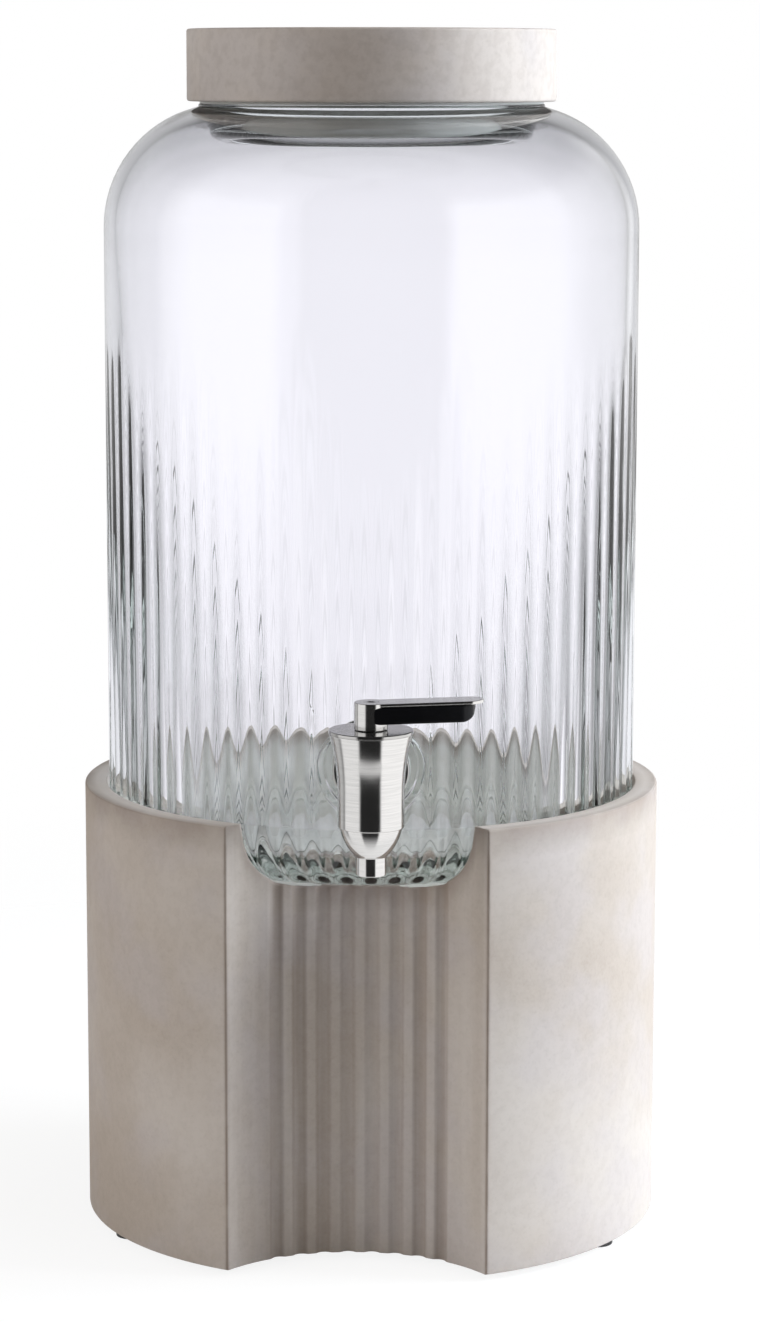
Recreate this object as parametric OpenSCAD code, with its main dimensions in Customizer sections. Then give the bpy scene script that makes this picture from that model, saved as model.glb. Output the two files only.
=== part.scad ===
// Glass drink dispenser: ribbed glass jar on a cast concrete base, with a concrete lid
// and a turned steel tap.
// All lengths are in millimetres. The origin is on the axis of the base, on the surface
// that the feet stand on. Z points up and the tap points towards -Y.

/* [Base] */
// Outer diameter of the concrete base
base_d = 220; // [212:1:240]
// Height of the concrete, from its underside to its rim
base_h = 166.4; // [140:0.2:190]
// Thickness of the cast wall round the hollow underside
base_wall = 18; // [15:0.5:22]
// Thickness of the slab under the pocket
slab_t = 18; // [12:1:30]
// Turn of the base under the jar, in degrees, as it stands in use
base_turn = -3; // [-10:0.5:10]
// Chamfer along the rim and the lower edge
edge_chamfer = 1; // [0.4:0.1:1.6]

/* [Pocket] */
// Depth of the pocket that holds the jar
pocket_depth = 26.4; // [20:0.2:34]
// Room between the jar and the pocket wall
pocket_gap = 0.85; // [0.5:0.05:1.5]
// Thickness of the silicone ring that the jar stands on
seat_h = 1; // [0.6:0.1:2.4]
// Outer diameter of that ring
seat_d = 140; // [100:1:148]
// Width of that ring
seat_w = 18; // [8:1:24]

/* [Recess] */
// Radius of the hollow front of the base
recess_r = 59.2; // [54:0.2:64]
// Distance of its centre from the axis of the base
recess_offset = 134.6; // [132:0.2:140]
// Number of flutes in its back
flute_count = 8; // [4:1:9]
// Distance from one flute to the next, along the wall
flute_pitch = 9.1; // [8:0.1:10]
// Radius of a flute
flute_r = 3.6; // [3.2:0.1:4]
// Depth of a flute
flute_depth = 1.3; // [0.6:0.1:1.8]

/* [Feet] */
// Number of rubber feet
foot_count = 3; // [3:1:6]
// Diameter of a foot
foot_d = 12; // [8:0.5:13]
// Height that a foot stands below the concrete
foot_h = 2.5; // [2:0.5:6]
// Depth of a foot's socket in the concrete
foot_sink = 1.5; // [1:0.5:3]
// Distance from the outside of the base to a foot
foot_inset = 2; // [1.5:0.5:3]

/* [Jar] */
// Outer diameter of the jar
jar_d = 201.5; // [192:0.5:206]
// Height of the jar, from its underside to its mouth
jar_h = 282.4; // [250:0.2:330]
// Thickness of the glass wall
glass_t = 4.5; // [3.5:0.1:6]
// Thickness of the jar's bottom
bottom_t = 8; // [6:0.5:12]
// Outer radius where the wall meets the bottom
bottom_round = 24; // [18:1:30]
// Outer radius of the shoulder
shoulder_round = 46; // [38:1:46]
// Inner diameter of the mouth
mouth_d = 104; // [96:1:106]
// Outer diameter of the raised rim of the mouth
rim_d = 130; // [126:0.5:132]
// Height of the thick glass ring round the mouth
neck_h = 12; // [9:0.5:16]
// Number of ribs round the jar
rib_count = 66; // [40:1:72]
// Depth of the valleys between the ribs, low on the jar
rib_depth = 1.2; // [0.6:0.1:1.6]
// Height at which the ribs have faded out, from the jar's underside
rib_h = 196; // [140:1:220]
// Diameter of the flat boss round the tap hole
boss_d = 39; // [34:0.5:44]
// Height of the boss over the jar's wall
boss_rise = 0.25; // [0.2:0.05:1]
// Diameter of the flat pad inside the tap hole
pad_d = 34; // [31:0.5:38]

/* [Lid] */
// Diameter of the concrete lid
lid_d = 138.6; // [134:0.2:150]
// Height of the lid above the jar
lid_h = 26.7; // [18:0.1:36]
// Depth of the plug under the lid
lid_plug_h = 8; // [6:0.5:10]
// Thickness of the seal between the lid and the rim
seal_t = 0.9; // [0.8:0.1:2]
// Wall of the seal round the lid's plug
seal_wall = 1.6; // [1.2:0.1:2]
// Room between the seal's lips and the mouth
seal_gap = 0.3; // [0.2:0.05:0.6]

/* [Tap] */
// Height of the tap hole above the jar's underside
tap_height = 47.9; // [44:0.1:60]
// Distance from the boss to the axis of the tap
tap_reach = 27; // [24:0.5:32]
// Diameter of the tap body at its waist
body_d = 23.6; // [22:0.1:25]
// Diameter of the tap body at its top
body_top_d = 30; // [29:0.1:32]
// Height of the flared part of the body
flare_h = 22; // [18:0.5:24]
// Height of the body above the axis of the shank
body_up = 17.7; // [17:0.1:21]
// Length of the body below the axis of the shank
body_down = 15.9; // [15:0.1:20]
// Diameter of the spout just under the seam
spout_d = 21.4; // [20:0.1:21.6]
// Height of the rounded part of the spout
spout_round_h = 10.6; // [9:0.1:12]
// Diameter of the nozzle
nozzle_d = 10.9; // [10:0.1:12]
// Length of the nozzle
nozzle_l = 6.6; // [5:0.1:9]
// Diameter of the passage through the tap
port_d = 8; // [6:0.1:8.2]
// Diameter of the turning plug
plug_d = 14; // [13:0.1:14.4]
// Diameter of the plug's stem
stem_d = 6; // [5.4:0.1:6.2]
// Thickness of the bonnet's disc
bonnet_t = 1.2; // [1:0.1:2]

/* [Shank] */
// Outer diameter of the threaded shank
shank_d = 16; // [15:0.1:17]
// Room round the shank in the glass
hole_gap = 0.5; // [0.3:0.1:0.8]
// Diameter of the shank's flange
flange_d = 27.2; // [25:0.2:30]
// Thickness of the flange
flange_t = 3; // [2:0.5:4]
// Diameter of the washers
washer_d = 28; // [26:0.5:30]
// Thickness of a silicone washer
washer_t = 2; // [1.5:0.1:3]
// Thickness of the steel washer
backing_t = 1.5; // [1:0.1:2]
// Width of the nut across its flats
nut_w = 24; // [22:0.5:26]
// Thickness of the nut
nut_t = 6; // [5:0.5:8]
// Pitch of the thread rings
thread_pitch = 1.5; // [1.2:0.1:2]
// Depth of the thread rings
thread_depth = 0.6; // [0.4:0.1:0.8]

/* [Lever] */
// Diameter of the lever's post
post_d = 12; // [11.6:0.1:13]
// Height of the post above the bonnet
post_h = 9.8; // [9:0.1:12]
// Reach of the steel strap from the axis of the tap
lever_reach = 39.5; // [34:0.5:46]
// Thickness of the strap
strap_t = 1.2; // [1:0.1:1.5]
// Width of the lever
lever_w = 11; // [10:0.1:11.4]
// Distance from the end of the strap to the end of the grip
grip_setback = 3; // [2:0.5:5]
// Thickness of the grip
grip_t = 6.2; // [5.4:0.1:6.6]
// Radius of the grip's lower end
grip_round = 4.6; // [3:0.1:5]
// Rise of the lever towards its end, in degrees
lever_rise = 2; // [0.5:0.5:3]
// Range of the lever, in degrees
lever_turn = 90; // [60:5:100]

/* [Hidden] */
$fn = 128;

// Clearances: pieces screwed or pressed together, pieces that turn, and faces that pass
joint_gap = 0.05;
turn_gap = 0.05;
face_gap = 0.2;
// How far a cut runs past the face that it opens
over = 1;

// Base and pocket
base_r = base_d / 2;
base_z0 = foot_h;
base_z1 = base_z0 + base_h;
pocket_z = base_z1 - pocket_depth;
pocket_r = jar_d / 2 + pocket_gap;
pocket_round = bottom_round + pocket_gap;
hollow_top = pocket_z - slab_t;
foot_ring_r = base_r - foot_inset - foot_d / 2;
foot_slack = 0.2;

// Jar
jar_r = jar_d / 2;
jar_ri = jar_r - glass_t;
jar_z0 = pocket_z + seat_h;
jar_z1 = jar_z0 + jar_h;
mouth_r = mouth_d / 2;
rim_r = rim_d / 2;
rim_h = 4;
rim_bevel = 0.5;
bead_r = 4.5;
boss_face = jar_r + boss_rise;
boss_back = (jar_ri + sqrt(jar_r * jar_r - boss_d * boss_d / 4)) / 2;
pad_proud = 0.3;
pad_face = sqrt(jar_ri * jar_ri - pad_d * pad_d / 4) - pad_proud;
rib_tilt = atan(rib_depth / (rib_h - bottom_round));
rib_share = 0.3;
rib_half_w = rib_share * PI * jar_d / rib_count;

// Lid and seal
lid_r = lid_d / 2;
lid_z0 = jar_z1 + seal_t;
lid_z1 = lid_z0 + lid_h;
lip_r = mouth_r - seal_gap;
lip_out = 0.9;
lip_h = 1.6;
lip_step = 3;
sleeve_r = lip_r - lip_out;
lid_plug_r = sleeve_r - seal_wall;
seal_rim_r = rim_r - rim_bevel;

// Tap body, from the axis of the shank up and down
tap_z = jar_z0 + tap_height;
tap_y = -(boss_face + tap_reach);
body_r = body_d / 2;
body_top_r = body_top_d / 2;
body_z0 = tap_z - body_down;
body_z1 = tap_z + body_up;
flare_z = body_z1 - flare_h;
flare_out = body_top_r - body_r;
flare_r = (flare_h * flare_h + flare_out * flare_out) / (2 * flare_out);
bonnet_z1 = body_z1 + bonnet_t;
bonnet_bevel = 0.25;

// Plug, its seat and its spring
plug_r = plug_d / 2;
stem_r = stem_d / 2;
port_r = port_d / 2;
spigot_r = plug_r + 1.6;
spigot_h = 2.6;
seat_disc_t = 1;
shoulder_z = body_z0 + spigot_h + seat_disc_t;
bonnet_plug_h = 3;
bonnet_plug_z = body_z1 - bonnet_plug_h;
spring_h = 2;
spring_t = 0.7;
plug_z0 = shoulder_z + turn_gap;
plug_z1 = bonnet_plug_z - spring_h - 2 * turn_gap;
oring_t = 1.4;
oring_room = 2.2;

// Spout
spout_r = spout_d / 2;
nozzle_r = nozzle_d / 2;
nozzle_z1 = body_z0 - spout_round_h;
spout_z0 = nozzle_z1 - nozzle_l;
dome_in = spout_r - nozzle_r;
dome_r = (spout_round_h * spout_round_h + dome_in * dome_in) / (2 * dome_in);
nozzle_bevel = 0.4;
spigot_ring_t = 1.2;

// Shank, as distances from the axis of the jar towards the tap
shank_r = shank_d / 2;
flange_in = boss_face + washer_t;
nut_out = pad_face - washer_t - backing_t;
nut_in = nut_out - nut_t;
shank_tail = 4;
shank_in = nut_in - shank_tail;
thread_turns = floor((pad_face - shank_in) / thread_pitch);
inlet_r = port_r + 1.4;
inlet_end = -tap_y - plug_r - 0.8;

// Lever, on the axis of the tap
post_r = post_d / 2;
post_z0 = bonnet_z1 + face_gap;
post_z1 = bonnet_z1 + post_h;
strap_under = -strap_t - joint_gap;
grip_end = lever_reach - grip_setback;
grip_start = 1.5;
tang_w = lever_w / 2;
tang_t = grip_t / 3;
tang_l = 0.7 * grip_end;
tang_mid = strap_under - grip_t / 2;
stem_up = 6;
stem_z1 = post_z0 + stem_up;
screw_r = 1.5;
screw_head_r = 2.7;
screw_head_h = 1.6;
screw_z = post_z1 - screw_head_h;
screw_l = 7;
key_w = 2.5;
pin_r = 0.7;
pin_ring_r = (stem_r + post_r) / 2;
pin_h = 1.8;
pin_sink = 2;
pin_side = 180;
slot_w = 2 * pin_r + 0.4;
slot_h = pin_h + 0.3;
slot_spare = asin(pin_r / pin_ring_r) + 3;

// Half of an upright section with a rounded lower and upper corner
module round_section(r, z0, z1, low_r, top_r) {
    translate([0, z0]) square([r - low_r, z1 - z0 - top_r]);
    translate([0, z0 + low_r]) square([r, z1 - z0 - low_r - top_r]);
    translate([0, z0 + low_r]) square([r - top_r, z1 - z0 - low_r]);
    translate([r - low_r, z0 + low_r]) circle(low_r);
    translate([r - top_r, z1 - top_r]) circle(top_r);
}

// Upright ring between two radii
module ring(r_in, r_out, z0, z1) {
    difference() {
        translate([0, 0, z0]) cylinder(r = r_out, h = z1 - z0);
        translate([0, 0, z0 - over]) cylinder(r = r_in, h = z1 - z0 + 2 * over);
    }
}

// Sealing ring with a round section, its outside at radius r_out
module sealing_ring(r_out, t, z) {
    translate([0, 0, z]) rotate_extrude() translate([r_out - t / 2, 0]) circle(d = t);
}

// Groove for such a ring, cut from the outside
module ring_groove(r_out, t, z) {
    ring(r_out - t - joint_gap, r_out + over, z - t / 2 - joint_gap, z + t / 2 + joint_gap);
}

// Places children on the axis of the tap, at floor height
module on_tap() {
    translate([0, tap_y, 0]) children();
}

// Turns children made along Z into the line of the shank, so that Z runs out towards the tap
module along_shank() {
    translate([0, 0, tap_z]) rotate([90, 0, 0]) children();
}

// Places children at the top of the lever's post, raised as the lever is from half way out
module on_lever() {
    translate([post_r / 2, tap_y, post_z1])
        rotate([0, -lever_rise, 0]) translate([-post_r / 2, 0, 0]) children();
}

// Front recess of the base, grown by an amount into the concrete
module recess(grow) {
    translate([0, -recess_offset, base_z0 - over]) cylinder(r = recess_r + grow, h = base_h + 2 * over);
}

// Upright flutes spread over the back of the recess
module flutes() {
    step = flute_pitch / recess_r * 180 / PI;
    translate([0, -recess_offset, base_z0 - over])
        for (i = [0 : flute_count - 1])
            rotate([0, 0, (i - (flute_count - 1) / 2) * step])
                translate([0, recess_r + flute_depth - flute_r, 0])
                    cylinder(r = flute_r, h = base_h + 2 * over);
}

// Places children at each foot, starting beside the recess
module at_feet() {
    for (i = [0 : foot_count - 1])
        rotate([0, 0, base_turn - 90 + (i + 0.5) * 360 / foot_count])
            translate([foot_ring_r, 0, 0]) children();
}

module base_block() {
    color([0.66, 0.62, 0.58]) difference() {
        rotate([0, 0, base_turn]) difference() {
            rotate_extrude() polygon([
                [0, base_z0], [base_r - edge_chamfer, base_z0], [base_r, base_z0 + edge_chamfer],
                [base_r, base_z1 - edge_chamfer], [base_r - edge_chamfer, base_z1], [0, base_z1]]);
            recess(0);
            flutes();
            difference() {
                translate([0, 0, base_z0 - over])
                    cylinder(r = base_r - base_wall, h = hollow_top - base_z0 + over);
                recess(base_wall);
            }
            rotate_extrude()
                round_section(pocket_r, pocket_z, base_z1 + 2 * pocket_round, pocket_round, over);
        }
        at_feet() translate([0, 0, base_z0 - over])
            cylinder(d = foot_d + 2 * foot_slack, h = foot_sink + over);
    }
}

module base_feet() {
    color([0.06, 0.06, 0.06]) at_feet() cylinder(d = foot_d, h = foot_h + foot_sink);
}

module seat_ring() {
    color([0.86, 0.86, 0.84]) ring(seat_d / 2 - seat_w, seat_d / 2, pocket_z, jar_z0);
}

// Upright valleys between the ribs, leaning in so that they fade out upwards
module rib_valleys() {
    length = rib_h + over;
    depth = rib_depth + over;
    half_w = rib_half_w * depth / rib_depth;
    for (i = [0 : rib_count - 1])
        rotate([0, 0, 360 * (i + 0.5) / rib_count])
            translate([jar_r, 0, jar_z0 + rib_h])
                rotate([0, rib_tilt, 0])
                    translate([0, 0, -length])
                        linear_extrude(length + shoulder_round)
                            polygon([[0, 0], [depth, -half_w], [depth, half_w]]);
}

// Half section of the glass: the wall, the thick ring round the mouth and its raised rim
module glass_section() {
    difference() {
        union() {
            difference() {
                round_section(jar_r, jar_z0, jar_z1, bottom_round, shoulder_round);
                round_section(jar_ri, jar_z0 + bottom_t, jar_z1 - glass_t,
                    bottom_round - glass_t, shoulder_round - glass_t);
            }
            translate([mouth_r, jar_z1 - neck_h + bead_r]) square([2 * bead_r, neck_h - bead_r - over]);
            translate([mouth_r + bead_r, jar_z1 - neck_h + bead_r]) circle(bead_r);
            polygon([[mouth_r, jar_z1 - rim_h], [rim_r, jar_z1 - rim_h], [rim_r, jar_z1 - rim_bevel],
                [rim_r - rim_bevel, jar_z1], [mouth_r, jar_z1]]);
        }
        translate([0, jar_z1 - neck_h]) square([mouth_r, neck_h + over]);
    }
}

module jar_glass() {
    color([0.80, 0.88, 0.87, 0.35]) difference() {
        union() {
            difference() {
                rotate_extrude() glass_section();
                rib_valleys();
            }
            along_shank() translate([0, 0, boss_back]) cylinder(d = boss_d, h = boss_face - boss_back);
            along_shank() translate([0, 0, pad_face]) cylinder(d = pad_d, h = boss_back - pad_face);
        }
        along_shank() translate([0, 0, pad_face - over])
            cylinder(r = shank_r + hole_gap, h = boss_face - pad_face + 2 * over);
    }
}

module outer_washer() {
    color([0.90, 0.90, 0.88]) along_shank() ring(shank_r + joint_gap, washer_d / 2, boss_face, flange_in);
}

module inner_washer() {
    color([0.90, 0.90, 0.88]) along_shank()
        ring(shank_r + joint_gap, washer_d / 2, pad_face - washer_t, pad_face);
}

module backing_washer() {
    color([0.78, 0.78, 0.80]) along_shank()
        ring(shank_r + joint_gap, washer_d / 2, nut_out, nut_out + backing_t);
}

module lock_nut() {
    color([0.74, 0.74, 0.76]) along_shank() difference() {
        translate([0, 0, nut_in]) cylinder(d = nut_w / cos(30), h = nut_t, $fn = 6);
        translate([0, 0, nut_in - over]) cylinder(r = shank_r + joint_gap, h = nut_t + 2 * over);
    }
}

// Outside of the tap body, grown by an amount
module body_shape(grow) {
    rotate_extrude() union() {
        translate([0, body_z0]) square([body_r + grow, body_z1 - body_z0]);
        difference() {
            translate([0, flare_z]) square([body_top_r + grow, flare_h]);
            translate([body_r + grow + flare_r, flare_z]) circle(flare_r, $fn = 4 * $fn);
        }
    }
}

module inlet_shank() {
    color([0.76, 0.76, 0.78]) difference() {
        along_shank() difference() {
            union() {
                rotate_extrude() polygon(concat(
                    [[0, shank_in]],
                    [for (i = [0 : thread_turns - 1], side = [0, 0.5])
                        [shank_r - (side == 0 ? thread_depth : 0), shank_in + (i + side) * thread_pitch]],
                    [[shank_r - thread_depth, shank_in + thread_turns * thread_pitch],
                        [shank_r, pad_face], [shank_r, -tap_y], [0, -tap_y]]));
                translate([0, 0, flange_in]) cylinder(d = flange_d, h = flange_t);
            }
            translate([0, 0, shank_in - over]) cylinder(r = port_r, h = -tap_y);
            ring(inlet_r, shank_r + over, -tap_y - body_r / 2, -tap_y + over);
            translate([0, 0, inlet_end]) cylinder(r = shank_r + over, h = plug_d);
        }
        difference() {
            on_tap() body_shape(joint_gap);
            along_shank() cylinder(r = inlet_r, h = -tap_y);
        }
    }
}

module tap_body() {
    color([0.78, 0.78, 0.79]) difference() {
        on_tap() difference() {
            body_shape(0);
            translate([0, 0, body_z0 - over])
                cylinder(r = plug_r + turn_gap, h = body_z1 - body_z0 + 2 * over);
            translate([0, 0, body_z0 - over])
                cylinder(r = spigot_r + joint_gap, h = shoulder_z - body_z0 + over);
            translate([0, 0, bonnet_plug_z])
                cylinder(r = spigot_r + joint_gap, h = bonnet_plug_h + over);
        }
        along_shank() translate([0, 0, -tap_y - body_top_r - over])
            cylinder(r = inlet_r + joint_gap, h = body_top_r + over);
    }
}

module tap_bonnet() {
    color([0.30, 0.29, 0.29]) on_tap() difference() {
        rotate_extrude() polygon([
            [0, bonnet_plug_z], [spigot_r, bonnet_plug_z], [spigot_r, body_z1],
            [body_top_r, body_z1], [body_top_r, bonnet_z1 - bonnet_bevel],
            [body_top_r - bonnet_bevel, bonnet_z1], [0, bonnet_z1]]);
        translate([0, 0, bonnet_plug_z - over])
            cylinder(r = stem_r + turn_gap, h = bonnet_z1 - bonnet_plug_z + 2 * over);
        rotate([0, 0, pin_side]) translate([pin_ring_r, 0, bonnet_z1 - pin_sink])
            cylinder(r = pin_r + joint_gap, h = pin_sink + over);
    }
}

module stop_pin() {
    color([0.70, 0.70, 0.72]) on_tap() rotate([0, 0, pin_side])
        translate([pin_ring_r, 0, bonnet_z1 - pin_sink]) cylinder(r = pin_r, h = pin_sink + pin_h);
}

module tap_spout() {
    color([0.78, 0.78, 0.79]) on_tap() difference() {
        union() {
            rotate_extrude() intersection() {
                translate([spout_r - dome_r, body_z0]) circle(dome_r);
                translate([0, nozzle_z1]) square([spout_r, spout_round_h]);
            }
            rotate_extrude() polygon([
                [0, spout_z0], [nozzle_r - nozzle_bevel, spout_z0], [nozzle_r, spout_z0 + nozzle_bevel],
                [nozzle_r, nozzle_z1 + over], [0, nozzle_z1 + over]]);
            translate([0, 0, body_z0 - over]) cylinder(r = spigot_r, h = spigot_h + over);
        }
        translate([0, 0, spout_z0 - over]) cylinder(r = port_r, h = body_z0 + spigot_h - spout_z0 + 2 * over);
        ring_groove(spigot_r, spigot_ring_t, body_z0 + spigot_h / 2);
    }
}

module plug_seat() {
    color([0.95, 0.95, 0.93]) on_tap() ring(port_r, spigot_r, body_z0 + spigot_h, shoulder_z);
}

module spout_oring() {
    color([0.10, 0.10, 0.10]) on_tap() sealing_ring(spigot_r, spigot_ring_t, body_z0 + spigot_h / 2);
}

module valve_plug() {
    color([0.82, 0.80, 0.74]) on_tap() difference() {
        union() {
            translate([0, 0, plug_z0]) cylinder(r = plug_r, h = plug_z1 - plug_z0);
            translate([0, 0, plug_z1 - over]) cylinder(r = stem_r, h = stem_z1 - plug_z1 + over);
        }
        translate([0, 0, plug_z0 - over]) cylinder(r = port_r, h = tap_z - plug_z0 + over);
        translate([0, 0, tap_z]) rotate([0, -90, 0]) cylinder(r = port_r, h = plug_d);
        ring_groove(plug_r, oring_t, plug_z0 + oring_room);
        ring_groove(plug_r, oring_t, plug_z1 - oring_room);
        translate([0, 0, screw_z - screw_l]) cylinder(r = screw_r + joint_gap, h = screw_l);
    }
}

module plug_orings() {
    color([0.10, 0.10, 0.10]) on_tap() {
        sealing_ring(plug_r, oring_t, plug_z0 + oring_room);
        sealing_ring(plug_r, oring_t, plug_z1 - oring_room);
    }
}

module spring_washer() {
    inner = stem_r + 0.4;
    outer = plug_r - 0.3;
    color([0.70, 0.70, 0.72]) on_tap() translate([0, 0, plug_z1]) rotate_extrude() polygon([
        [inner, 0], [outer, spring_h - spring_t], [outer, spring_h], [inner, spring_t]]);
}

// Bar along the lever with a round end, between two heights under the top of the post
module lever_bar(length, low, high) {
    translate([0, -lever_w / 2, low]) cube([length - lever_w / 2, lever_w, high - low]);
    translate([length - lever_w / 2, 0, low]) cylinder(d = lever_w, h = high - low);
}

// Tongue of the hub that the grip is pushed on to, grown by an amount
module lever_tang(grow) {
    translate([0, -tang_w / 2 - grow, tang_mid - tang_t / 2 - grow])
        cube([tang_l + grow, tang_w + 2 * grow, tang_t + 2 * grow]);
}

module lever_hub() {
    color([0.80, 0.80, 0.81]) difference() {
        union() {
            on_tap() translate([0, 0, post_z0]) cylinder(r = post_r, h = post_z1 - post_z0);
            on_lever() lever_bar(lever_reach, -strap_t, 0);
            on_lever() lever_tang(0);
        }
        on_tap() {
            translate([0, 0, post_z0 - over])
                cylinder(r = stem_r + joint_gap, h = stem_up + over + joint_gap);
            translate([0, 0, post_z0]) cylinder(r = screw_r + joint_gap, h = post_h);
            translate([0, 0, screw_z]) cylinder(r = screw_head_r + joint_gap, h = screw_head_h + over);
            translate([0, 0, post_z0 - over]) rotate([0, 0, pin_side - slot_spare])
                rotate_extrude(angle = lever_turn + 2 * slot_spare)
                    translate([pin_ring_r - slot_w / 2, 0]) square([slot_w, slot_h + over]);
        }
    }
}

module lever_grip() {
    low = strap_under - grip_t;
    color([0.04, 0.04, 0.045]) difference() {
        on_lever() intersection() {
            lever_bar(grip_end, low, strap_under);
            rotate([90, 0, 0]) translate([0, 0, -lever_w]) linear_extrude(2 * lever_w) {
                translate([grip_start, low]) square([grip_end - grip_round - grip_start, grip_t]);
                translate([grip_start, low + grip_round])
                    square([grip_end - grip_start, grip_t - grip_round]);
                translate([grip_end - grip_round, low + grip_round]) circle(grip_round);
            }
        }
        on_tap() translate([0, 0, body_z1]) cylinder(r = post_r + joint_gap, h = 2 * post_h);
        on_lever() lever_tang(joint_gap);
    }
}

module lever_screw() {
    color([0.70, 0.70, 0.72]) on_tap() difference() {
        union() {
            translate([0, 0, screw_z]) cylinder(r = screw_head_r, h = screw_head_h);
            translate([0, 0, screw_z - screw_l + over]) cylinder(r = screw_r, h = screw_l);
        }
        translate([0, 0, post_z1 - screw_head_h / 2])
            cylinder(d = key_w / cos(30), h = screw_head_h, $fn = 6);
    }
}

module lid_block() {
    color([0.68, 0.64, 0.61]) rotate_extrude() polygon([
        [0, lid_z0 - lid_plug_h], [lid_plug_r, lid_z0 - lid_plug_h], [lid_plug_r, lid_z0],
        [lid_r - edge_chamfer, lid_z0], [lid_r, lid_z0 + edge_chamfer],
        [lid_r, lid_z1 - edge_chamfer], [lid_r - edge_chamfer, lid_z1], [0, lid_z1]]);
}

module lid_seal() {
    inner = lid_plug_r + joint_gap;
    bottom = lid_z0 - lid_plug_h;
    color([0.90, 0.89, 0.86]) rotate_extrude() {
        translate([inner, jar_z1]) square([seal_rim_r - inner, seal_t]);
        translate([inner, bottom]) square([sleeve_r - inner, lid_plug_h]);
        for (i = [0, 1])
            translate([sleeve_r, bottom + i * lip_step])
                polygon([[-over / 2, 0], [0, 0], [lip_out, lip_h], [-over / 2, lip_h]]);
    }
}

base_block();
base_feet();
seat_ring();
jar_glass();
outer_washer();
inner_washer();
backing_washer();
lock_nut();
inlet_shank();
tap_body();
tap_bonnet();
tap_spout();
plug_seat();
spout_oring();
stop_pin();
valve_plug();
plug_orings();
spring_washer();
lever_hub();
lever_grip();
lever_screw();
lid_block();
lid_seal();
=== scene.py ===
"""Looks of a glass drink dispenser: ribbed jar, cast concrete base and lid, turned steel tap.

Sizes are in millimetres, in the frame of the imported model: Z is up, the tap points towards -Y
and the feet stand on z = 0. Each surface is worked out as whole arrays of points, which become
metres when they are put into a mesh.
"""

from __future__ import annotations

import logging
import math
from dataclasses import dataclass, field
from enum import Enum

import bpy
import numpy as np
from mathutils import Matrix

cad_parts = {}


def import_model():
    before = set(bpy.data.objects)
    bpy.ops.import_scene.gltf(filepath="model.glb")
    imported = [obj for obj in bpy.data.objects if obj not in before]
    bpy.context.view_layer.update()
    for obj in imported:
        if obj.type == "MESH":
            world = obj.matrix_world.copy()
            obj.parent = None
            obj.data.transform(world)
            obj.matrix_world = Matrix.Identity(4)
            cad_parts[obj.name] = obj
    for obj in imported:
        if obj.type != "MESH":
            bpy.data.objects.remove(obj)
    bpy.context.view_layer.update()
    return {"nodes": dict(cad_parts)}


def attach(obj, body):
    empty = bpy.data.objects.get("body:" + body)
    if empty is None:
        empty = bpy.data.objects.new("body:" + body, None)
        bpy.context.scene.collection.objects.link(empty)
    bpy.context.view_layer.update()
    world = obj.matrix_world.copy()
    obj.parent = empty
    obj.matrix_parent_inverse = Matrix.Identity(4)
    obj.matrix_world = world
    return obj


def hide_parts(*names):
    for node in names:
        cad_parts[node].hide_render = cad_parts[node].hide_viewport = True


LOG = logging.getLogger("dispenser")
# Metres in a millimetre, and the step in millimetres within which points become one
MM = 0.001
MERGE = 1e-4
# Place of the tap's upright axis, and height of the shank's line
TAP_Y = -128.0
TAP_Z = 191.4
# Flat faces of the glass at the tap hole, outside and inside, from the jar's axis
BOSS_FACE = 101.0
PAD_FACE = 94.44
# Radius of the holes that the valve's stem goes through
STEM_HOLE = 3.05

Colour = tuple[float, float, float]
Corner = tuple[float, float, float]
Socket = bpy.types.NodeSocket


class Body(Enum):
    """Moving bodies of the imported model."""

    BASE = "base"
    JAR = "jar"
    LEVER = "lever"
    LID = "lid"


class Slot(Enum):
    """Material slots of the record."""

    BASE_CONCRETE = "base_concrete"
    LID_CONCRETE = "lid_concrete"
    CLEAR_GLASS = "clear_glass"
    PALE_SILICONE = "pale_silicone"
    BLACK_RUBBER = "black_rubber"
    POLISHED_STEEL = "polished_steel"
    SATIN_STEEL = "satin_steel"
    BLACK_PLASTIC = "black_plastic"
    WHITE_PLASTIC = "white_plastic"


class Axis(Enum):
    """Lines that turned pieces are made about."""

    UP = "up"
    TAP = "tap"
    SHANK = "shank"


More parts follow.
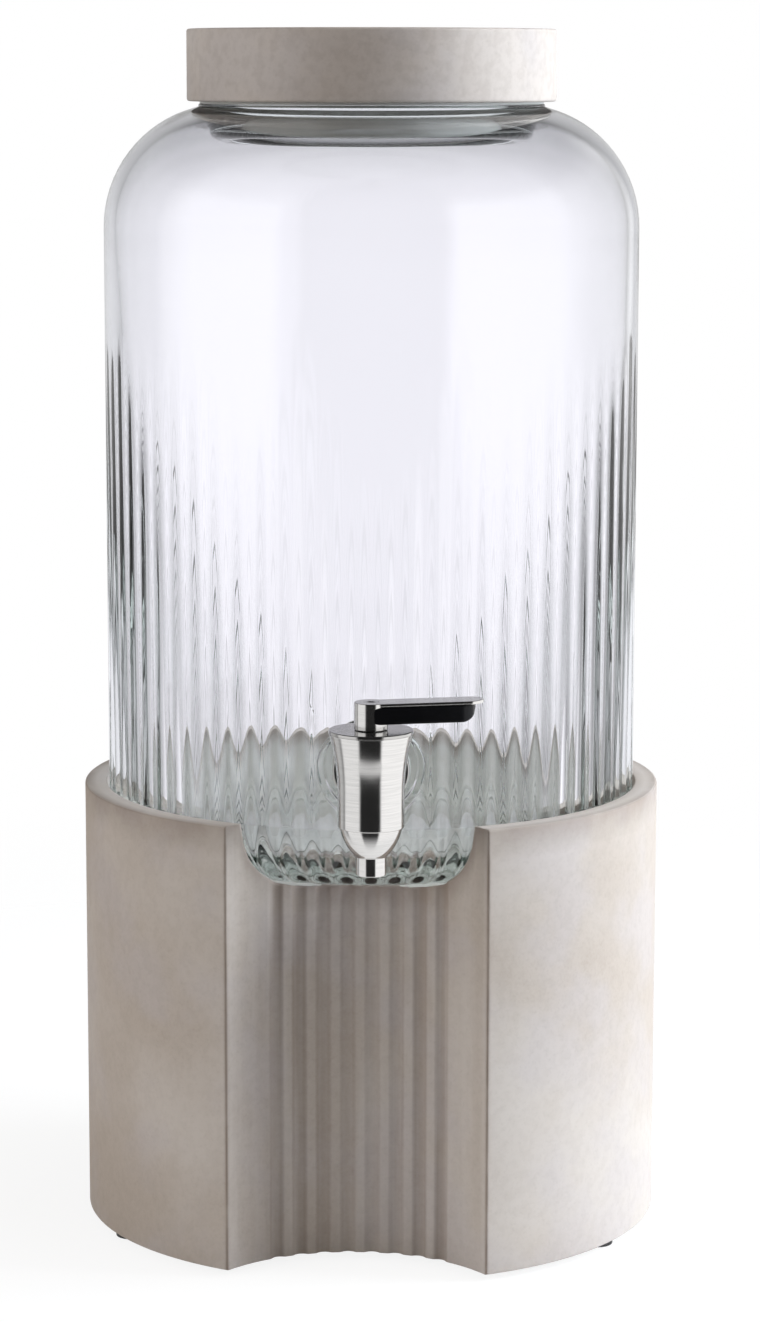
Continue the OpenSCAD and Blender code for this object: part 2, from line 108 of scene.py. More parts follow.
@dataclass
class Surface:
    """Points in millimetres and the four-cornered faces between them.

    Rows of a grid may shrink to a point or meet other rows. Such points are merged when the
    mesh is made, so that seams and poles are closed.
    """

    points: np.ndarray
    quads: np.ndarray
    marks: dict[str, np.ndarray] = field(default_factory=dict)

    @classmethod
    def grid(cls, points: np.ndarray, keep: np.ndarray | None = None,
             **marks: np.ndarray) -> Surface:
        """Faces between neighbouring rows and columns, with the columns closed into a ring.

        Args:
            points: Array of (rows, columns, 3).
            keep: Which faces to keep, as (rows - 1, columns).
            marks: Named numbers for the points, each as (rows, columns).

        Returns:
            The surface.
        """
        rows, columns = points.shape[:2]
        i, j = np.meshgrid(np.arange(rows - 1), np.arange(columns), indexing="ij")
        k = (j + 1) % columns
        corners = [i * columns + j, i * columns + k, (i + 1) * columns + k, (i + 1) * columns + j]
        quads = np.stack(corners, axis=-1)
        quads = quads[keep] if keep is not None else quads.reshape(-1, 4)
        flat = {name: values.reshape(-1) for name, values in marks.items()}
        return cls(points.reshape(-1, 3), quads, flat)

    def __add__(self, other: Surface) -> Surface:
        """Both surfaces as one, without marks."""
        return Surface(np.concatenate([self.points, other.points]),
                       np.concatenate([self.quads, other.quads + len(self.points)]))

    def flipped(self) -> Surface:
        """The same surface, facing the other way."""
        return Surface(self.points, self.quads[:, ::-1], self.marks)

    def moved(self, x: float, y: float) -> Surface:
        """The same surface in another place."""
        return Surface(self.points + np.array([x, y, 0.0]), self.quads, self.marks)

    def to_object(self, name: str, sharp: float) -> bpy.types.Object:
        """Merges points that coincide, drops faces that vanish, and makes the mesh.

        Args:
            name: Name of the object.
            sharp: Angle in degrees from which an edge is shaded as sharp.

        Returns:
            The object, at the origin.
        """
        used, corners = np.unique(self.quads, return_inverse=True)
        points = self.points[used]
        key = np.round(points / MERGE).astype(np.int64)
        _, first, inverse = np.unique(key, axis=0, return_index=True, return_inverse=True)
        quads = inverse.reshape(-1)[corners.reshape(-1, 4)]
        same = quads == np.roll(quads, -1, axis=1)
        crossed = (quads[:, 0] == quads[:, 2]) | (quads[:, 1] == quads[:, 3])
        faces = quads[(same.sum(axis=1) == 0) & ~crossed].tolist()
        for corner in range(4):
            lone = same[:, corner] & (same.sum(axis=1) == 1) & ~crossed
            faces += np.delete(quads[lone], corner, axis=1).tolist()
        mesh = bpy.data.meshes.new(name)
        mesh.from_pydata((points[first] * MM).tolist(), [], faces)
        for mark, values in self.marks.items():
            layer = mesh.attributes.new(mark, "FLOAT", "POINT")
            layer.data.foreach_set("value", values[used][first].astype(np.float32))
        mesh.shade_smooth()
        mesh.set_sharp_from_angle(angle=math.radians(sharp))
        mesh.update()
        obj = bpy.data.objects.new(name, mesh)
        bpy.context.scene.collection.objects.link(obj)
        return obj


def smooth_step(value: np.ndarray) -> np.ndarray:
    """Cubic step 3t^2 - 2t^3 of a value held between 0 and 1."""
    t = np.clip(value, 0.0, 1.0)
    return t * t * (3.0 - 2.0 * t)


def bend(a: np.ndarray, b: np.ndarray, c: np.ndarray, t: np.ndarray) -> np.ndarray:
    """Curve (1-t)^2 a + 2t(1-t) b + t^2 c, which rounds the corner b between a and c."""
    return (1 - t) ** 2 * a + 2 * t * (1 - t) * b + t ** 2 * c


def arc(centre: tuple[float, float], radius: float, start: float, stop: float,
        steps: int) -> np.ndarray:
    """Points (c + r cos a, c + r sin a) on a circle, with the angles in degrees."""
    a = np.radians(np.linspace(start, stop, steps))
    return np.stack([centre[0] + radius * np.cos(a), centre[1] + radius * np.sin(a)], axis=-1)


def eased(corners: list[Corner], closed: bool, steps: int = 6) -> np.ndarray:
    """Outline with its corners rounded by curves.

    Beside each curve, a quarter of its cut further on, stands one more point on the straight
    run, which keeps flat faces flat in the shading.

    Args:
        corners: Points (r, z) with the length that each corner is cut back.
        closed: Whether the outline closes on itself.
        steps: Points on each rounded corner.

    Returns:
        Array of points (r, z).
    """
    p = np.array(corners, float)
    xy, cut = p[:, :2], p[:, 2:]
    ahead = np.roll(xy, -1, axis=0) - xy
    ahead /= np.linalg.norm(ahead, axis=1, keepdims=True)
    behind = np.roll(ahead, 1, axis=0)
    t = np.linspace(0.0, 1.0, steps)[None, :, None]
    curve = bend((xy - cut * behind)[:, None], xy[:, None], (xy + cut * ahead)[:, None], t)
    lead = 1.25 * cut
    runs = np.concatenate([(xy - lead * behind)[:, None], curve, (xy + lead * ahead)[:, None]], 1)
    outline = runs.reshape(-1, 2)
    if not closed:
        outline = np.concatenate([xy[:1], runs[1:-1].reshape(-1, 2), xy[-1:]])
    kept = np.linalg.norm(np.diff(outline, axis=0, prepend=np.inf), axis=1) > MERGE
    return outline[kept]


def lathe(profile: np.ndarray, closed: bool, columns: int, axis: Axis = Axis.UP) -> Surface:
    """Profile turned about an axis: point (r, h) at angle a goes to (r cos a, r sin a, h).

    Args:
        profile: Points (r, h), with the material on the left of the way that they run.
        closed: Whether the last point joins the first, as in a ring.
        columns: Number of steps round the axis.
        axis: Line that the piece is turned about. h runs out towards the tap on the shank.

    Returns:
        The surface.
    """
    rows = np.concatenate([profile, profile[:1]]) if closed else profile
    a = np.linspace(0.0, 2 * np.pi, columns, endpoint=False)[None]
    r, h = rows[:, :1], rows[:, 1:] + 0 * a
    x, y = r * np.cos(a), r * np.sin(a)
    if axis is Axis.SHANK:
        return Surface.grid(np.stack([x, -h, y + TAP_Z], axis=-1))
    return Surface.grid(np.stack([x, y + (TAP_Y if axis is Axis.TAP else 0.0), h], axis=-1))


def ring(corners: list[Corner], columns: int, axis: Axis = Axis.UP, steps: int = 6) -> Surface:
    """Closed outline with eased corners, turned about an axis."""
    return lathe(eased(corners, True, steps), True, columns, axis)


def disc(corners: list[Corner], columns: int) -> Surface:
    """Outline from the axis out and back to it, with eased corners, turned about Z."""
    return lathe(eased(corners, False), False, columns)


class Shader:
    """Short calls that add nodes to a node tree."""

    def __init__(self, tree: bpy.types.NodeTree) -> None:
        """Takes a tree and empties it."""
        self.tree = tree
        tree.nodes.clear()

    def add(self, kind: str, inputs: dict | None = None, **settings: object) -> bpy.types.Node:
        """Adds a node.

        Args:
            kind: Type of the node, without its first word.
            inputs: Values or output sockets for its inputs, by name or number.
            settings: Properties of the node.

        Returns:
            The node.
        """
        node = self.tree.nodes.new("ShaderNode" + kind)
        for name, value in settings.items():
            setattr(node, name, value)
        for name, value in (inputs or {}).items():
            if isinstance(value, Socket):
                self.tree.links.new(value, node.inputs[name])
            else:
                node.inputs[name].default_value = value
        return node

    def noise(self, scale: float, detail: float = 3.0, stretch: Colour = (1.0, 1.0, 1.0)) -> Socket:
        """Cloudy noise on stretched Object coordinates, with a number of waves to the metre."""
        coords = {"Vector": self.add("TexCoord").outputs["Object"], "Scale": stretch}
        mapped = self.add("Mapping", coords).outputs[0]
        inputs = {"Vector": mapped, "Scale": scale, "Detail": detail}
        return self.add("TexNoise", inputs).outputs["Fac"]

    def mark(self, name: str) -> Socket:
        """Number that the points of the mesh carry under a name."""
        return self.add("Attribute", attribute_name=name).outputs["Fac"]

    def fade(self, value: Socket, low: float, high: float, start: float = 0.0,
             stop: float = 1.0) -> Socket:
        """Carries a value from the range low to high over to start to stop, with soft ends."""
        inputs = {"Value": value, "From Min": low, "From Max": high, "To Min": start,
                  "To Max": stop}
        return self.add("MapRange", inputs, interpolation_type="SMOOTHSTEP").outputs[0]

    def maths(self, operation: str, a: object, b: object = 0.0, c: object = 0.0) -> Socket:
        """One sum on one to three values."""
        return self.add("Math", {0: a, 1: b, 2: c}, operation=operation).outputs[0]

    def times(self, a: object, b: object) -> Socket:
        """Product of two values."""
        return self.maths("MULTIPLY", a, b)

    def plus(self, a: object, b: object) -> Socket:
        """Sum of two values."""
        return self.maths("ADD", a, b)

    def most(self, a: object, b: object) -> Socket:
        """Larger of two values."""
        return self.maths("MAXIMUM", a, b)

    def between(self, factor: Socket, a: object, b: object) -> Socket:
        """Number between a and b."""
        return self.add("Mix", {0: factor, 2: a, 3: b}).outputs[0]

    def mix(self, factor: Socket, a: object, b: object) -> Socket:
        """Colour between a and b."""
        a, b = (v if isinstance(v, Socket) else (*v, 1.0) for v in (a, b))
        return self.add("Mix", {0: factor, 6: a, 7: b}, data_type="RGBA").outputs[2]

    def bump(self, height: Socket, strength: float, depth_mm: float) -> Socket:
        """Surface normal of a height."""
        inputs = {"Height": height, "Strength": strength, "Distance": depth_mm * MM}
        return self.add("Bump", inputs).outputs[0]

    def principled(self, inputs: dict, **volume: Socket) -> None:
        """Ends a material with the usual shader, and with a volume where one is given."""
        shader = self.add("BsdfPrincipled", inputs)
        self.add("OutputMaterial", {"Surface": shader.outputs[0], **volume})


def new_material(name: str) -> tuple[bpy.types.Material, Shader]:
    """An empty material and the calls that fill it."""
    material = bpy.data.materials.new(name)
    material.use_nodes = True
    return material, Shader(material.node_tree)


@dataclass(frozen=True)
class Concrete:
    """Cast concrete with soft clouds, fine grain, darker arrises, painted shade and painted light.

    The last fields are the sizes of its noises, in waves to the metre.
    """

    name: str
    pale: Colour
    dark: Colour
    blush: Colour
    inside: Colour
    rim: Colour
    roughness: float
    specular: float
    mottle: float
    # Dark brown of the specks, of the darker arrises and of the painted shade.
    arris: Colour = (0.16, 0.11, 0.08)
    clouds: float = 13.0
    blushes: float = 31.0
    edge_noise: float = 60.0
    streaks: float = 150.0
    spots: float = 260.0
    grain: float = 800.0

    def material(self) -> bpy.types.Material:
        """Noises of several sizes mix the tones, and marks on the mesh add painted shade, painted
        light and a darker line along the arrises.
        """
        material, s = new_material(self.name)
        clouds = s.fade(s.noise(self.clouds, 5.0), 0.36, 0.64)
        streaks = s.fade(s.noise(self.streaks, 4.0, (1.0, 1.0, 0.04)), 0.34, 0.68)
        tone = s.between(s.times(s.mark("recess"), 0.6), clouds, streaks)
        grain = s.noise(self.grain, 2.0)
        blush = s.fade(s.noise(self.blushes, 4.0), 0.42, 0.66, 0.0, 0.55)
        spots = s.fade(s.noise(self.spots, 4.0), 0.60, 0.34, 0.0, self.mottle)
        # Painted shade in the flutes and on the lid's plug, in dark brown.
        shade_share = s.times(s.mark("groove"), s.fade(streaks, 0.0, 1.0, 1.0, 0.62))
        # Darker line along the arrises and top edges, broken by noise; under the jar's bowl it is
        # painted shade.
        darker_edge_and_shade = s.times(s.mark("arris"), s.fade(s.noise(self.edge_noise), 0.30, 0.60, 0.45, 0.75))
        colour = s.mix(tone, self.dark, self.pale)
        for share, layer in ((blush, self.blush),
                             (s.fade(grain, 0.40, 0.75, 0.0, 0.16), self.pale),
                             (s.fade(grain, 0.50, 0.25, 0.0, 0.07), self.arris),
                             (spots, self.arris), (shade_share, self.arris),
                             # The pocket's pale colour is painted light, and so is the rim's pale top
                             # face.
                             (s.mark("pocket"), self.inside), (s.mark("rim"), self.rim),
                             (darker_edge_and_shade, self.arris)):
            colour = s.mix(share, colour, layer)
        rough = s.fade(grain, 0.2, 0.8, self.roughness - 0.06, self.roughness + 0.06)
        s.principled({"Base Color": colour, "Roughness": rough, "Specular IOR Level": self.specular,
                      "Normal": s.bump(grain, 0.12, 0.10)})
        return material


@dataclass(frozen=True)
class Glass:
    """Clear pressed glass with slow waves in its surface."""

    name: str
    tint: Colour
    ior: float
    deep: Colour
    density: float
    waves: float = 26.0

    def material(self) -> bpy.types.Material:
        """Slow noise bends the surface, as the mould leaves it, and long paths turn green."""
        material, s = new_material(self.name)
        waves = s.noise(self.waves, 1.0, (1.0, 1.0, 0.5))
        depth = s.add("VolumeAbsorption", {"Color": (*self.deep, 1.0), "Density": self.density})
        s.principled({"Base Color": (*self.tint, 1.0), "Roughness": 0.0, "IOR": self.ior,
                      "Transmission Weight": 1.0, "Normal": s.bump(waves, 0.10, 1.0)},
                     Volume=depth.outputs[0])
        return material


@dataclass(frozen=True)
class Steel:
    """Steel with fine turning lines."""

    name: str
    colour: Colour
    roughness: float
    lines: float
    turning: float = 60.0
    clouds: float = 70.0

    def material(self) -> bpy.types.Material:
        """Noise squeezed along the axis draws the lines that the lathe leaves."""
        material, s = new_material(self.name)
        turning = s.noise(self.turning, 3.0, (1.0, 1.0, 40.0))
        clouds = s.noise(self.clouds, 2.0)
        rough = s.fade(clouds, 0.3, 0.7, self.roughness * 0.8, self.roughness * 1.2)
        dull = tuple(0.9 * c for c in self.colour)
        colour = s.mix(s.fade(turning, 0.3, 0.7), dull, self.colour)
        s.principled({"Base Color": colour, "Metallic": 1.0, "Roughness": rough,
                      "Normal": s.bump(turning, self.lines, 0.05)})
        return material


@dataclass(frozen=True)
class Moulded:
    """Moulded plastic, rubber or silicone with a fine skin."""

    name: str
    colour: Colour
    roughness: float
    skin: float
    clear: float = 0.0
    shine: float = 0.5
    skin_scale: float = 1400.0
    dust_scale: float = 45.0

    def material(self) -> bpy.types.Material:
        """Fine noise gives the skin, and slow noise a little dust."""
        material, s = new_material(self.name)
        skin = s.noise(self.skin_scale, 2.0)
        dust = s.noise(self.dust_scale)
        faded = tuple(min(1.0, 1.12 * c + 0.004) for c in self.colour)
        colour = s.mix(s.fade(dust, 0.35, 0.75), self.colour, faded)
        rough = s.fade(dust, 0.3, 0.7, self.roughness * 0.9, self.roughness * 1.1)
        s.principled({"Base Color": colour, "Roughness": rough, "Specular IOR Level": self.shine,
                      "Transmission Weight": self.clear, "Normal": s.bump(skin, self.skin, 0.05)})
        return material


FINISHES = {
    Slot.BASE_CONCRETE: Concrete(
        "base_concrete", pale=(0.526, 0.474, 0.433), dark=(0.44, 0.379, 0.329),
        # The inside and rim colours are painted light: a pale pocket and a pale top face on the rim.
        blush=(0.475, 0.430, 0.42), inside=(0.90, 0.93, 0.89), rim=(0.86, 0.80, 0.75),
        roughness=0.80, specular=0.35, mottle=0.065),
    Slot.LID_CONCRETE: Concrete(
        "lid_concrete", pale=(0.54, 0.486, 0.448), dark=(0.43, 0.367, 0.324),
        blush=(0.47, 0.43, 0.42), inside=(0.50, 0.45, 0.41), rim=(0.50, 0.45, 0.41),
        roughness=0.50, specular=0.65, mottle=0.13),
    Slot.CLEAR_GLASS: Glass("clear_glass", (0.992, 0.988, 1.0), 1.5, (0.30, 0.56, 0.44), 9.0),
    Slot.PALE_SILICONE: Moulded("pale_silicone", (0.78, 0.78, 0.75), 0.4, 0.1, clear=0.4),
    Slot.BLACK_RUBBER: Moulded("black_rubber", (0.018, 0.018, 0.018), 0.6, 0.3),
    Slot.POLISHED_STEEL: Steel("polished_steel", (0.71, 0.70, 0.69), 0.13, 0.02),
    Slot.SATIN_STEEL: Steel("satin_steel", (0.55, 0.54, 0.53), 0.15, 0.03),
    Slot.BLACK_PLASTIC: Moulded("black_plastic", (0.006, 0.006, 0.007), 0.18, 0.03, shine=0.15),
    Slot.WHITE_PLASTIC: Moulded("white_plastic", (0.80, 0.79, 0.76), 0.4, 0.1),
}


class Workshop:
    """Makes pieces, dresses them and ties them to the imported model."""

    def __init__(self) -> None:
        """Makes every finish once."""
        self.materials = {slot: finish.material() for slot, finish in FINISHES.items()}

    def piece(self, name: str, surface: Surface, body: Body, slot: Slot, *nodes: str,
              sharp: float = 35.0) -> bpy.types.Object:
        """Makes one piece.

        Args:
            name: Name of the piece.
            surface: Its shape.
            body: Body that it moves with.
            slot: Slot of its finish.
            nodes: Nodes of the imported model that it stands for.
            sharp: Angle in degrees from which an edge is shaded as sharp.

        Returns:
            The object.
        """
        obj = surface.to_object(name, sharp)
        obj.data.materials.append(self.materials[slot])
        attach(obj, body.value)
        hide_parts(*nodes)
        LOG.info("%s: %d faces on body %s", name, len(obj.data.polygons), body.value)
        return obj

    def dress(self, obj: bpy.types.Object, slot: Slot) -> None:
        """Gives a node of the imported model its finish."""
        obj.data.materials.clear()
        obj.data.materials.append(self.materials[slot])
        LOG.info("%s: dressed as %s", obj.name, slot.value)


@dataclass
class Base:
    """Concrete base with the jar's pocket, the fluted front recess, feet and seat ring."""

    radius: float = 110.0
    bottom: float = 2.5
    top: float = 168.9
    turn: float = -3.0
    edge: float = 0.9
    # Share of the darker line along the top edges, which under the jar's bowl is painted shade.
    edge_line_and_shade: float = 0.55
    # Share of painted light on the rim's top face.
    rim_painted_light: float = 0.45
    pocket_floor: float = 142.5
    pocket_radius: float = 101.6
    pocket_round: float = 24.85
    pocket_edge: float = 0.6
    recess_radius: float = 59.2
    recess_offset: float = 134.6
    arris_cut: float = 0.7
    # Width of the darker line at the recess's arrises.
    arris_line_width: float = 0.75
    flutes: int = 8
    flute_pitch: float = 9.1
    flute_radius: float = 3.6
    flute_depth: float = 1.3
    flute_soft: float = 0.04
    flute_columns: int = 14
    wall: float = 18.0
    hollow_top: float = 124.5
    hollow_edge: float = 0.8
    hollow_round: float = 2.0
    foot_ring: float = 102.0
    foot_radius: float = 6.0
    foot_sunk: float = 1.4
    seat: tuple[float, float] = (52.0, 70.0)
    seat_thick: float = 1.0

    def recess_line(self, angle: np.ndarray) -> np.ndarray:
        """Radius of the recess wall about its own centre.

        A flute is a circle of radius f whose centre is c from the recess's centre: a ray at
        angle d from it meets the flute at c cos d + sqrt(f^2 - c^2 sin^2 d). A soft maximum
        k log(1 + exp(x / k)) joins the flutes to the wall.

        Args:
            angle: Angles in radians from the line to the base's axis.

        Returns:
            Radii.
        """
        step = self.flute_pitch / self.recess_radius
        c = self.recess_radius + self.flute_depth - self.flute_radius
        nearest = np.clip(np.floor(angle / step), -self.flutes / 2, self.flutes / 2 - 1) + 0.5
        d = angle - nearest * step
        room = np.maximum(self.flute_radius ** 2 - (c * np.sin(d)) ** 2, 0.0)
        rise = c * np.cos(d) + np.sqrt(room) - self.recess_radius
        return self.recess_radius + self.flute_soft * np.log1p(np.exp(rise / self.flute_soft))

    def outline(self) -> tuple[np.ndarray, np.ndarray]:
        """Plan of the concrete, counter-clockwise from the recess's left arris.

        Columns crowd towards both arrises, which a curve rounds off.

        Returns:
            Points (x, y) before the base is turned, and how near each is to an arris.
        """
        big, rho, d = self.radius, self.recess_radius, self.recess_offset
        at = math.acos((rho ** 2 + d ** 2 - big ** 2) / (2 * rho * d))
        reach = math.acos((big ** 2 + d ** 2 - rho ** 2) / (2 * big * d))
        end = at - self.arris_cut / rho
        flat = self.flutes / 2 * self.flute_pitch / rho
        back = np.linspace(-flat, flat, self.flutes * self.flute_columns + 1)
        side = end - (end - flat) * np.linspace(0.0, 1.0, 12, endpoint=False)[::-1] ** 2
        a = np.concatenate([-side[::-1], back, side])
        r = self.recess_line(a)
        hollow = np.stack([r * np.sin(a), r * np.cos(a) - d], axis=-1)
        near = np.array([self.arris_cut, 1.1, 1.8, 3.2, 6.0]) / big
        rest = np.linspace(reach + 0.08, 2 * np.pi - reach - 0.08, 220)
        b = np.concatenate([reach + near, rest, 2 * np.pi - reach - near[::-1]])
        round_side = big * np.stack([np.sin(b), -np.cos(b)], axis=-1)
        corner = big * np.array([math.sin(reach), -math.cos(reach)])
        right = bend(hollow[-1], corner, round_side[0], np.linspace(0.0, 1.0, 7)[1:-1, None])
        left = right[::-1] * np.array([-1.0, 1.0])
        points = np.concatenate([hollow, right, round_side, left])
        gap = np.hypot(np.abs(points[:, 0]) - corner[0], points[:, 1] - corner[1])
        return points, np.exp(-(gap / self.arris_line_width) ** 2)

    def flute_painted_shade(self, plan: np.ndarray) -> np.ndarray:
        """Painted shade in the flutes: most in the outer ones and at their sides, none elsewhere.

        Args:
            plan: Points (x, y) of the outline.

        Returns:
            One share for each point.
        """
        away = np.hypot(plan[:, 0], plan[:, 1] + self.recess_offset)
        sunk = np.clip((away - self.recess_radius) / self.flute_depth, 0.0, 1.0)
        outermost = 34.0
        outer = 0.3 + 0.7 * np.clip(np.abs(plan[:, 0]) / outermost, 0.0, 1.0)
        # Painted shade is strongest at the flutes' sides and in the outer flutes.
        shade_share = 0.45 * sunk + 1.6 * sunk * np.clip(0.75 - sunk, 0.0, 1.0)
        return self.in_recess(plan) * outer * shade_share

    def in_recess(self, plan: np.ndarray) -> np.ndarray:
        """Whether each point (x, y) of the outline lies on the recess's wall."""
        return np.hypot(plan[:, 0], plan[:, 1]) < self.radius - 0.05

    def pocket_height(self, r: np.ndarray) -> np.ndarray:
        """Height of the pocket: a flat floor, a quarter circle and the rim's level."""
        over = np.clip(r - self.pocket_radius + self.pocket_round, 0.0, self.pocket_round)
        rise = self.pocket_round - np.sqrt(self.pocket_round ** 2 - over ** 2)
        on_rim = r > self.pocket_radius + self.pocket_edge / 2
        return np.where(on_rim, self.top, self.pocket_floor + rise)

    def hollow_radius(self, angle: np.ndarray) -> np.ndarray:
        """Distance from the axis to the wall of the hollow underside, round the recess too."""
        d, grown = self.recess_offset, self.recess_radius + self.wall
        room = np.maximum(grown ** 2 - (d * np.sin(angle)) ** 2, 0.0)
        front = np.where((room > 0) & (np.cos(angle) > 0), d * np.cos(angle) - np.sqrt(room), 1e6)
        return np.minimum(self.radius - self.wall, front)

    def pocket_rows(self) -> np.ndarray:
        """Points (r, z) of the pocket, from its middle out to the rim."""
        big, low, e = self.pocket_radius, self.pocket_floor, self.pocket_edge
        floor = [(0.0, low), (35.0, low), (65.0, low)]
        curve = arc((big - self.pocket_round, low + self.pocket_round), self.pocket_round, -90, 0, 16)
        rim = [(big, self.top - e), (big + e / 4, self.top - e / 4), (big + e, self.top),
               (big + 4.0, self.top)]
        return np.concatenate([floor, curve, rim])

    def roof_rows(self, plan: np.ndarray) -> tuple[np.ndarray, np.ndarray]:
        """Rows of the hollow underside, from its lip up the wall and in to the axis.

        Args:
            plan: Points (x, y) of the outline.

        Returns:
            Radii and heights, each as (rows, columns).
        """
        r = self.hollow_radius(np.arctan2(plan[:, 0], -plan[:, 1]))
        low, high, e, f = self.bottom, self.hollow_top, self.hollow_edge, self.hollow_round
        rows = [(r + e, low), (r + e / 4, low + e / 4), (r, low + e), (r, high - f),
                (r - 0.3 * f, high - 0.3 * f), (r - f, high), (r * 0.5, high), (r * 0.0, high)]
        return np.stack([row for row, _ in rows]), np.array([[z] for _, z in rows]) + 0 * r

    def block(self) -> Surface:
        """Casting as rows that run from the hollow's roof out, up the wall and into the pocket.

        Each column keeps one direction from the axis. Rows of the pocket stop at the outline,
        where a quarter circle of the edge's radius joins them to the wall.

        Returns:
            The surface.
        """
        plan, near = self.outline()
        far = np.hypot(plan[:, 0], plan[:, 1])
        limit = far - self.edge
        crest = self.pocket_height(limit)
        pocket = self.pocket_rows()
        inside = pocket[:, :1] <= limit
        pocket_r = np.where(inside, pocket[:, :1], limit)
        pocket_z = np.where(inside, pocket[:, 1:], crest)
        turn = np.radians(np.linspace(0.0, 90.0, 5))[:, None]
        edge_r = limit + self.edge * np.sin(turn)
        edge_z = crest - self.edge * (1 - np.cos(turn))
        drop = np.linspace(0.0, 1.0, 16)[1:-1, None]
        wall_z = (1 - drop) * (crest - self.edge) + drop * (self.bottom + self.edge)
        foot_r = limit + self.edge * np.cos(turn)
        foot_z = self.bottom + self.edge * (1 - np.sin(turn)) + 0 * far
        roof_r, roof_z = self.roof_rows(plan)
        r = np.concatenate([pocket_r, edge_r, far + 0 * drop, foot_r, roof_r])[::-1]
        z = np.concatenate([pocket_z, edge_z, wall_z, foot_z, roof_z])[::-1]
        way = (plan / far[:, None]) @ self.turned()
        points = np.stack([r * way[:, 0], r * way[:, 1], z], axis=-1)
        row = np.arange(len(r))[::-1, None]
        on_edge = (row >= len(pocket_r)) & (row < len(pocket_r) + len(edge_r))
        face = r > limit - 0.5
        # Marks: a darker line on the arrises and top edges, painted shade under the jar's bowl and in
        # the flutes, and painted light in the pocket and on the rim's top face.
        return Surface.grid(
            points, arris=np.maximum(near * face, self.edge_line_and_shade * on_edge),
            pocket=self.pocket_painted_light(points) * (row < len(pocket_r)),
            rim=self.rim_painted_light * ((r > self.pocket_radius) & (z > self.top - 0.1)),
            groove=self.flute_painted_shade(plan) * face, recess=self.in_recess(plan) * face)

    def pocket_painted_light(self, points: np.ndarray) -> np.ndarray:
        """Share of painted light in the pocket: none at the rim, and more on the right than left."""
        below, fade, half = 2.0, 5.0, 60.0
        depth = smooth_step((self.top - below - points[..., 2]) / fade)
        return depth * (0.65 + 0.35 * np.clip(points[..., 0] / half, -1.0, 1.0))

    def turned(self) -> np.ndarray:
        """Matrix that turns rows of (x, y) by the base's own turn."""
        c, s = math.cos(math.radians(self.turn)), math.sin(math.radians(self.turn))
        return np.array([[c, s], [-s, c]])

    def feet(self) -> Surface:
        """Three round feet, each a turned profile with eased edges."""
        r, top = self.foot_radius, self.bottom + self.foot_sunk
        foot = disc([(0, 0, 0), (r, 0, 0.7), (r, top, 0.2), (0, top, 0)], 40)
        a = np.radians(self.turn - 90 + np.array([60.0, 180.0, 300.0]))
        feet = [foot.moved(self.foot_ring * math.cos(v), self.foot_ring * math.sin(v)) for v in a]
        return feet[0] + feet[1] + feet[2]

    def seat_ring(self) -> Surface:
        """Flat ring on the pocket's floor, under the jar."""
        low, high = self.pocket_floor, self.pocket_floor + self.seat_thick
        inner, outer = self.seat
        return ring([(inner, low, 0.2), (outer, low, 0.2), (outer, high, 0.3), (inner, high, 0.3)],
                    128)

    def build(self, shop: Workshop) -> None:
        """Makes the pieces of the base."""
        shop.piece("concrete_base", self.block(), Body.BASE, Slot.BASE_CONCRETE, "base_block")
        shop.piece("rubber_feet", self.feet(), Body.BASE, Slot.BLACK_RUBBER, "base_feet")
        shop.piece("jar_seat", self.seat_ring(), Body.BASE, Slot.PALE_SILICONE, "seat_ring")


@dataclass
class Section:
    """Half section of the jar, and what its rows have to do with the ribs and the tap hole.

    Points (r, z) run from the middle of the underside, over the mouth, to the inner floor. Each
    has its rib depth and normal (depth, nr, nz). The tap hole's blocks take the place of two runs
    of rows, and the rows of the inner wall are wavy.
    """

    points: np.ndarray
    ribs: np.ndarray
    outside: slice
    inside: slice
    wavy: slice


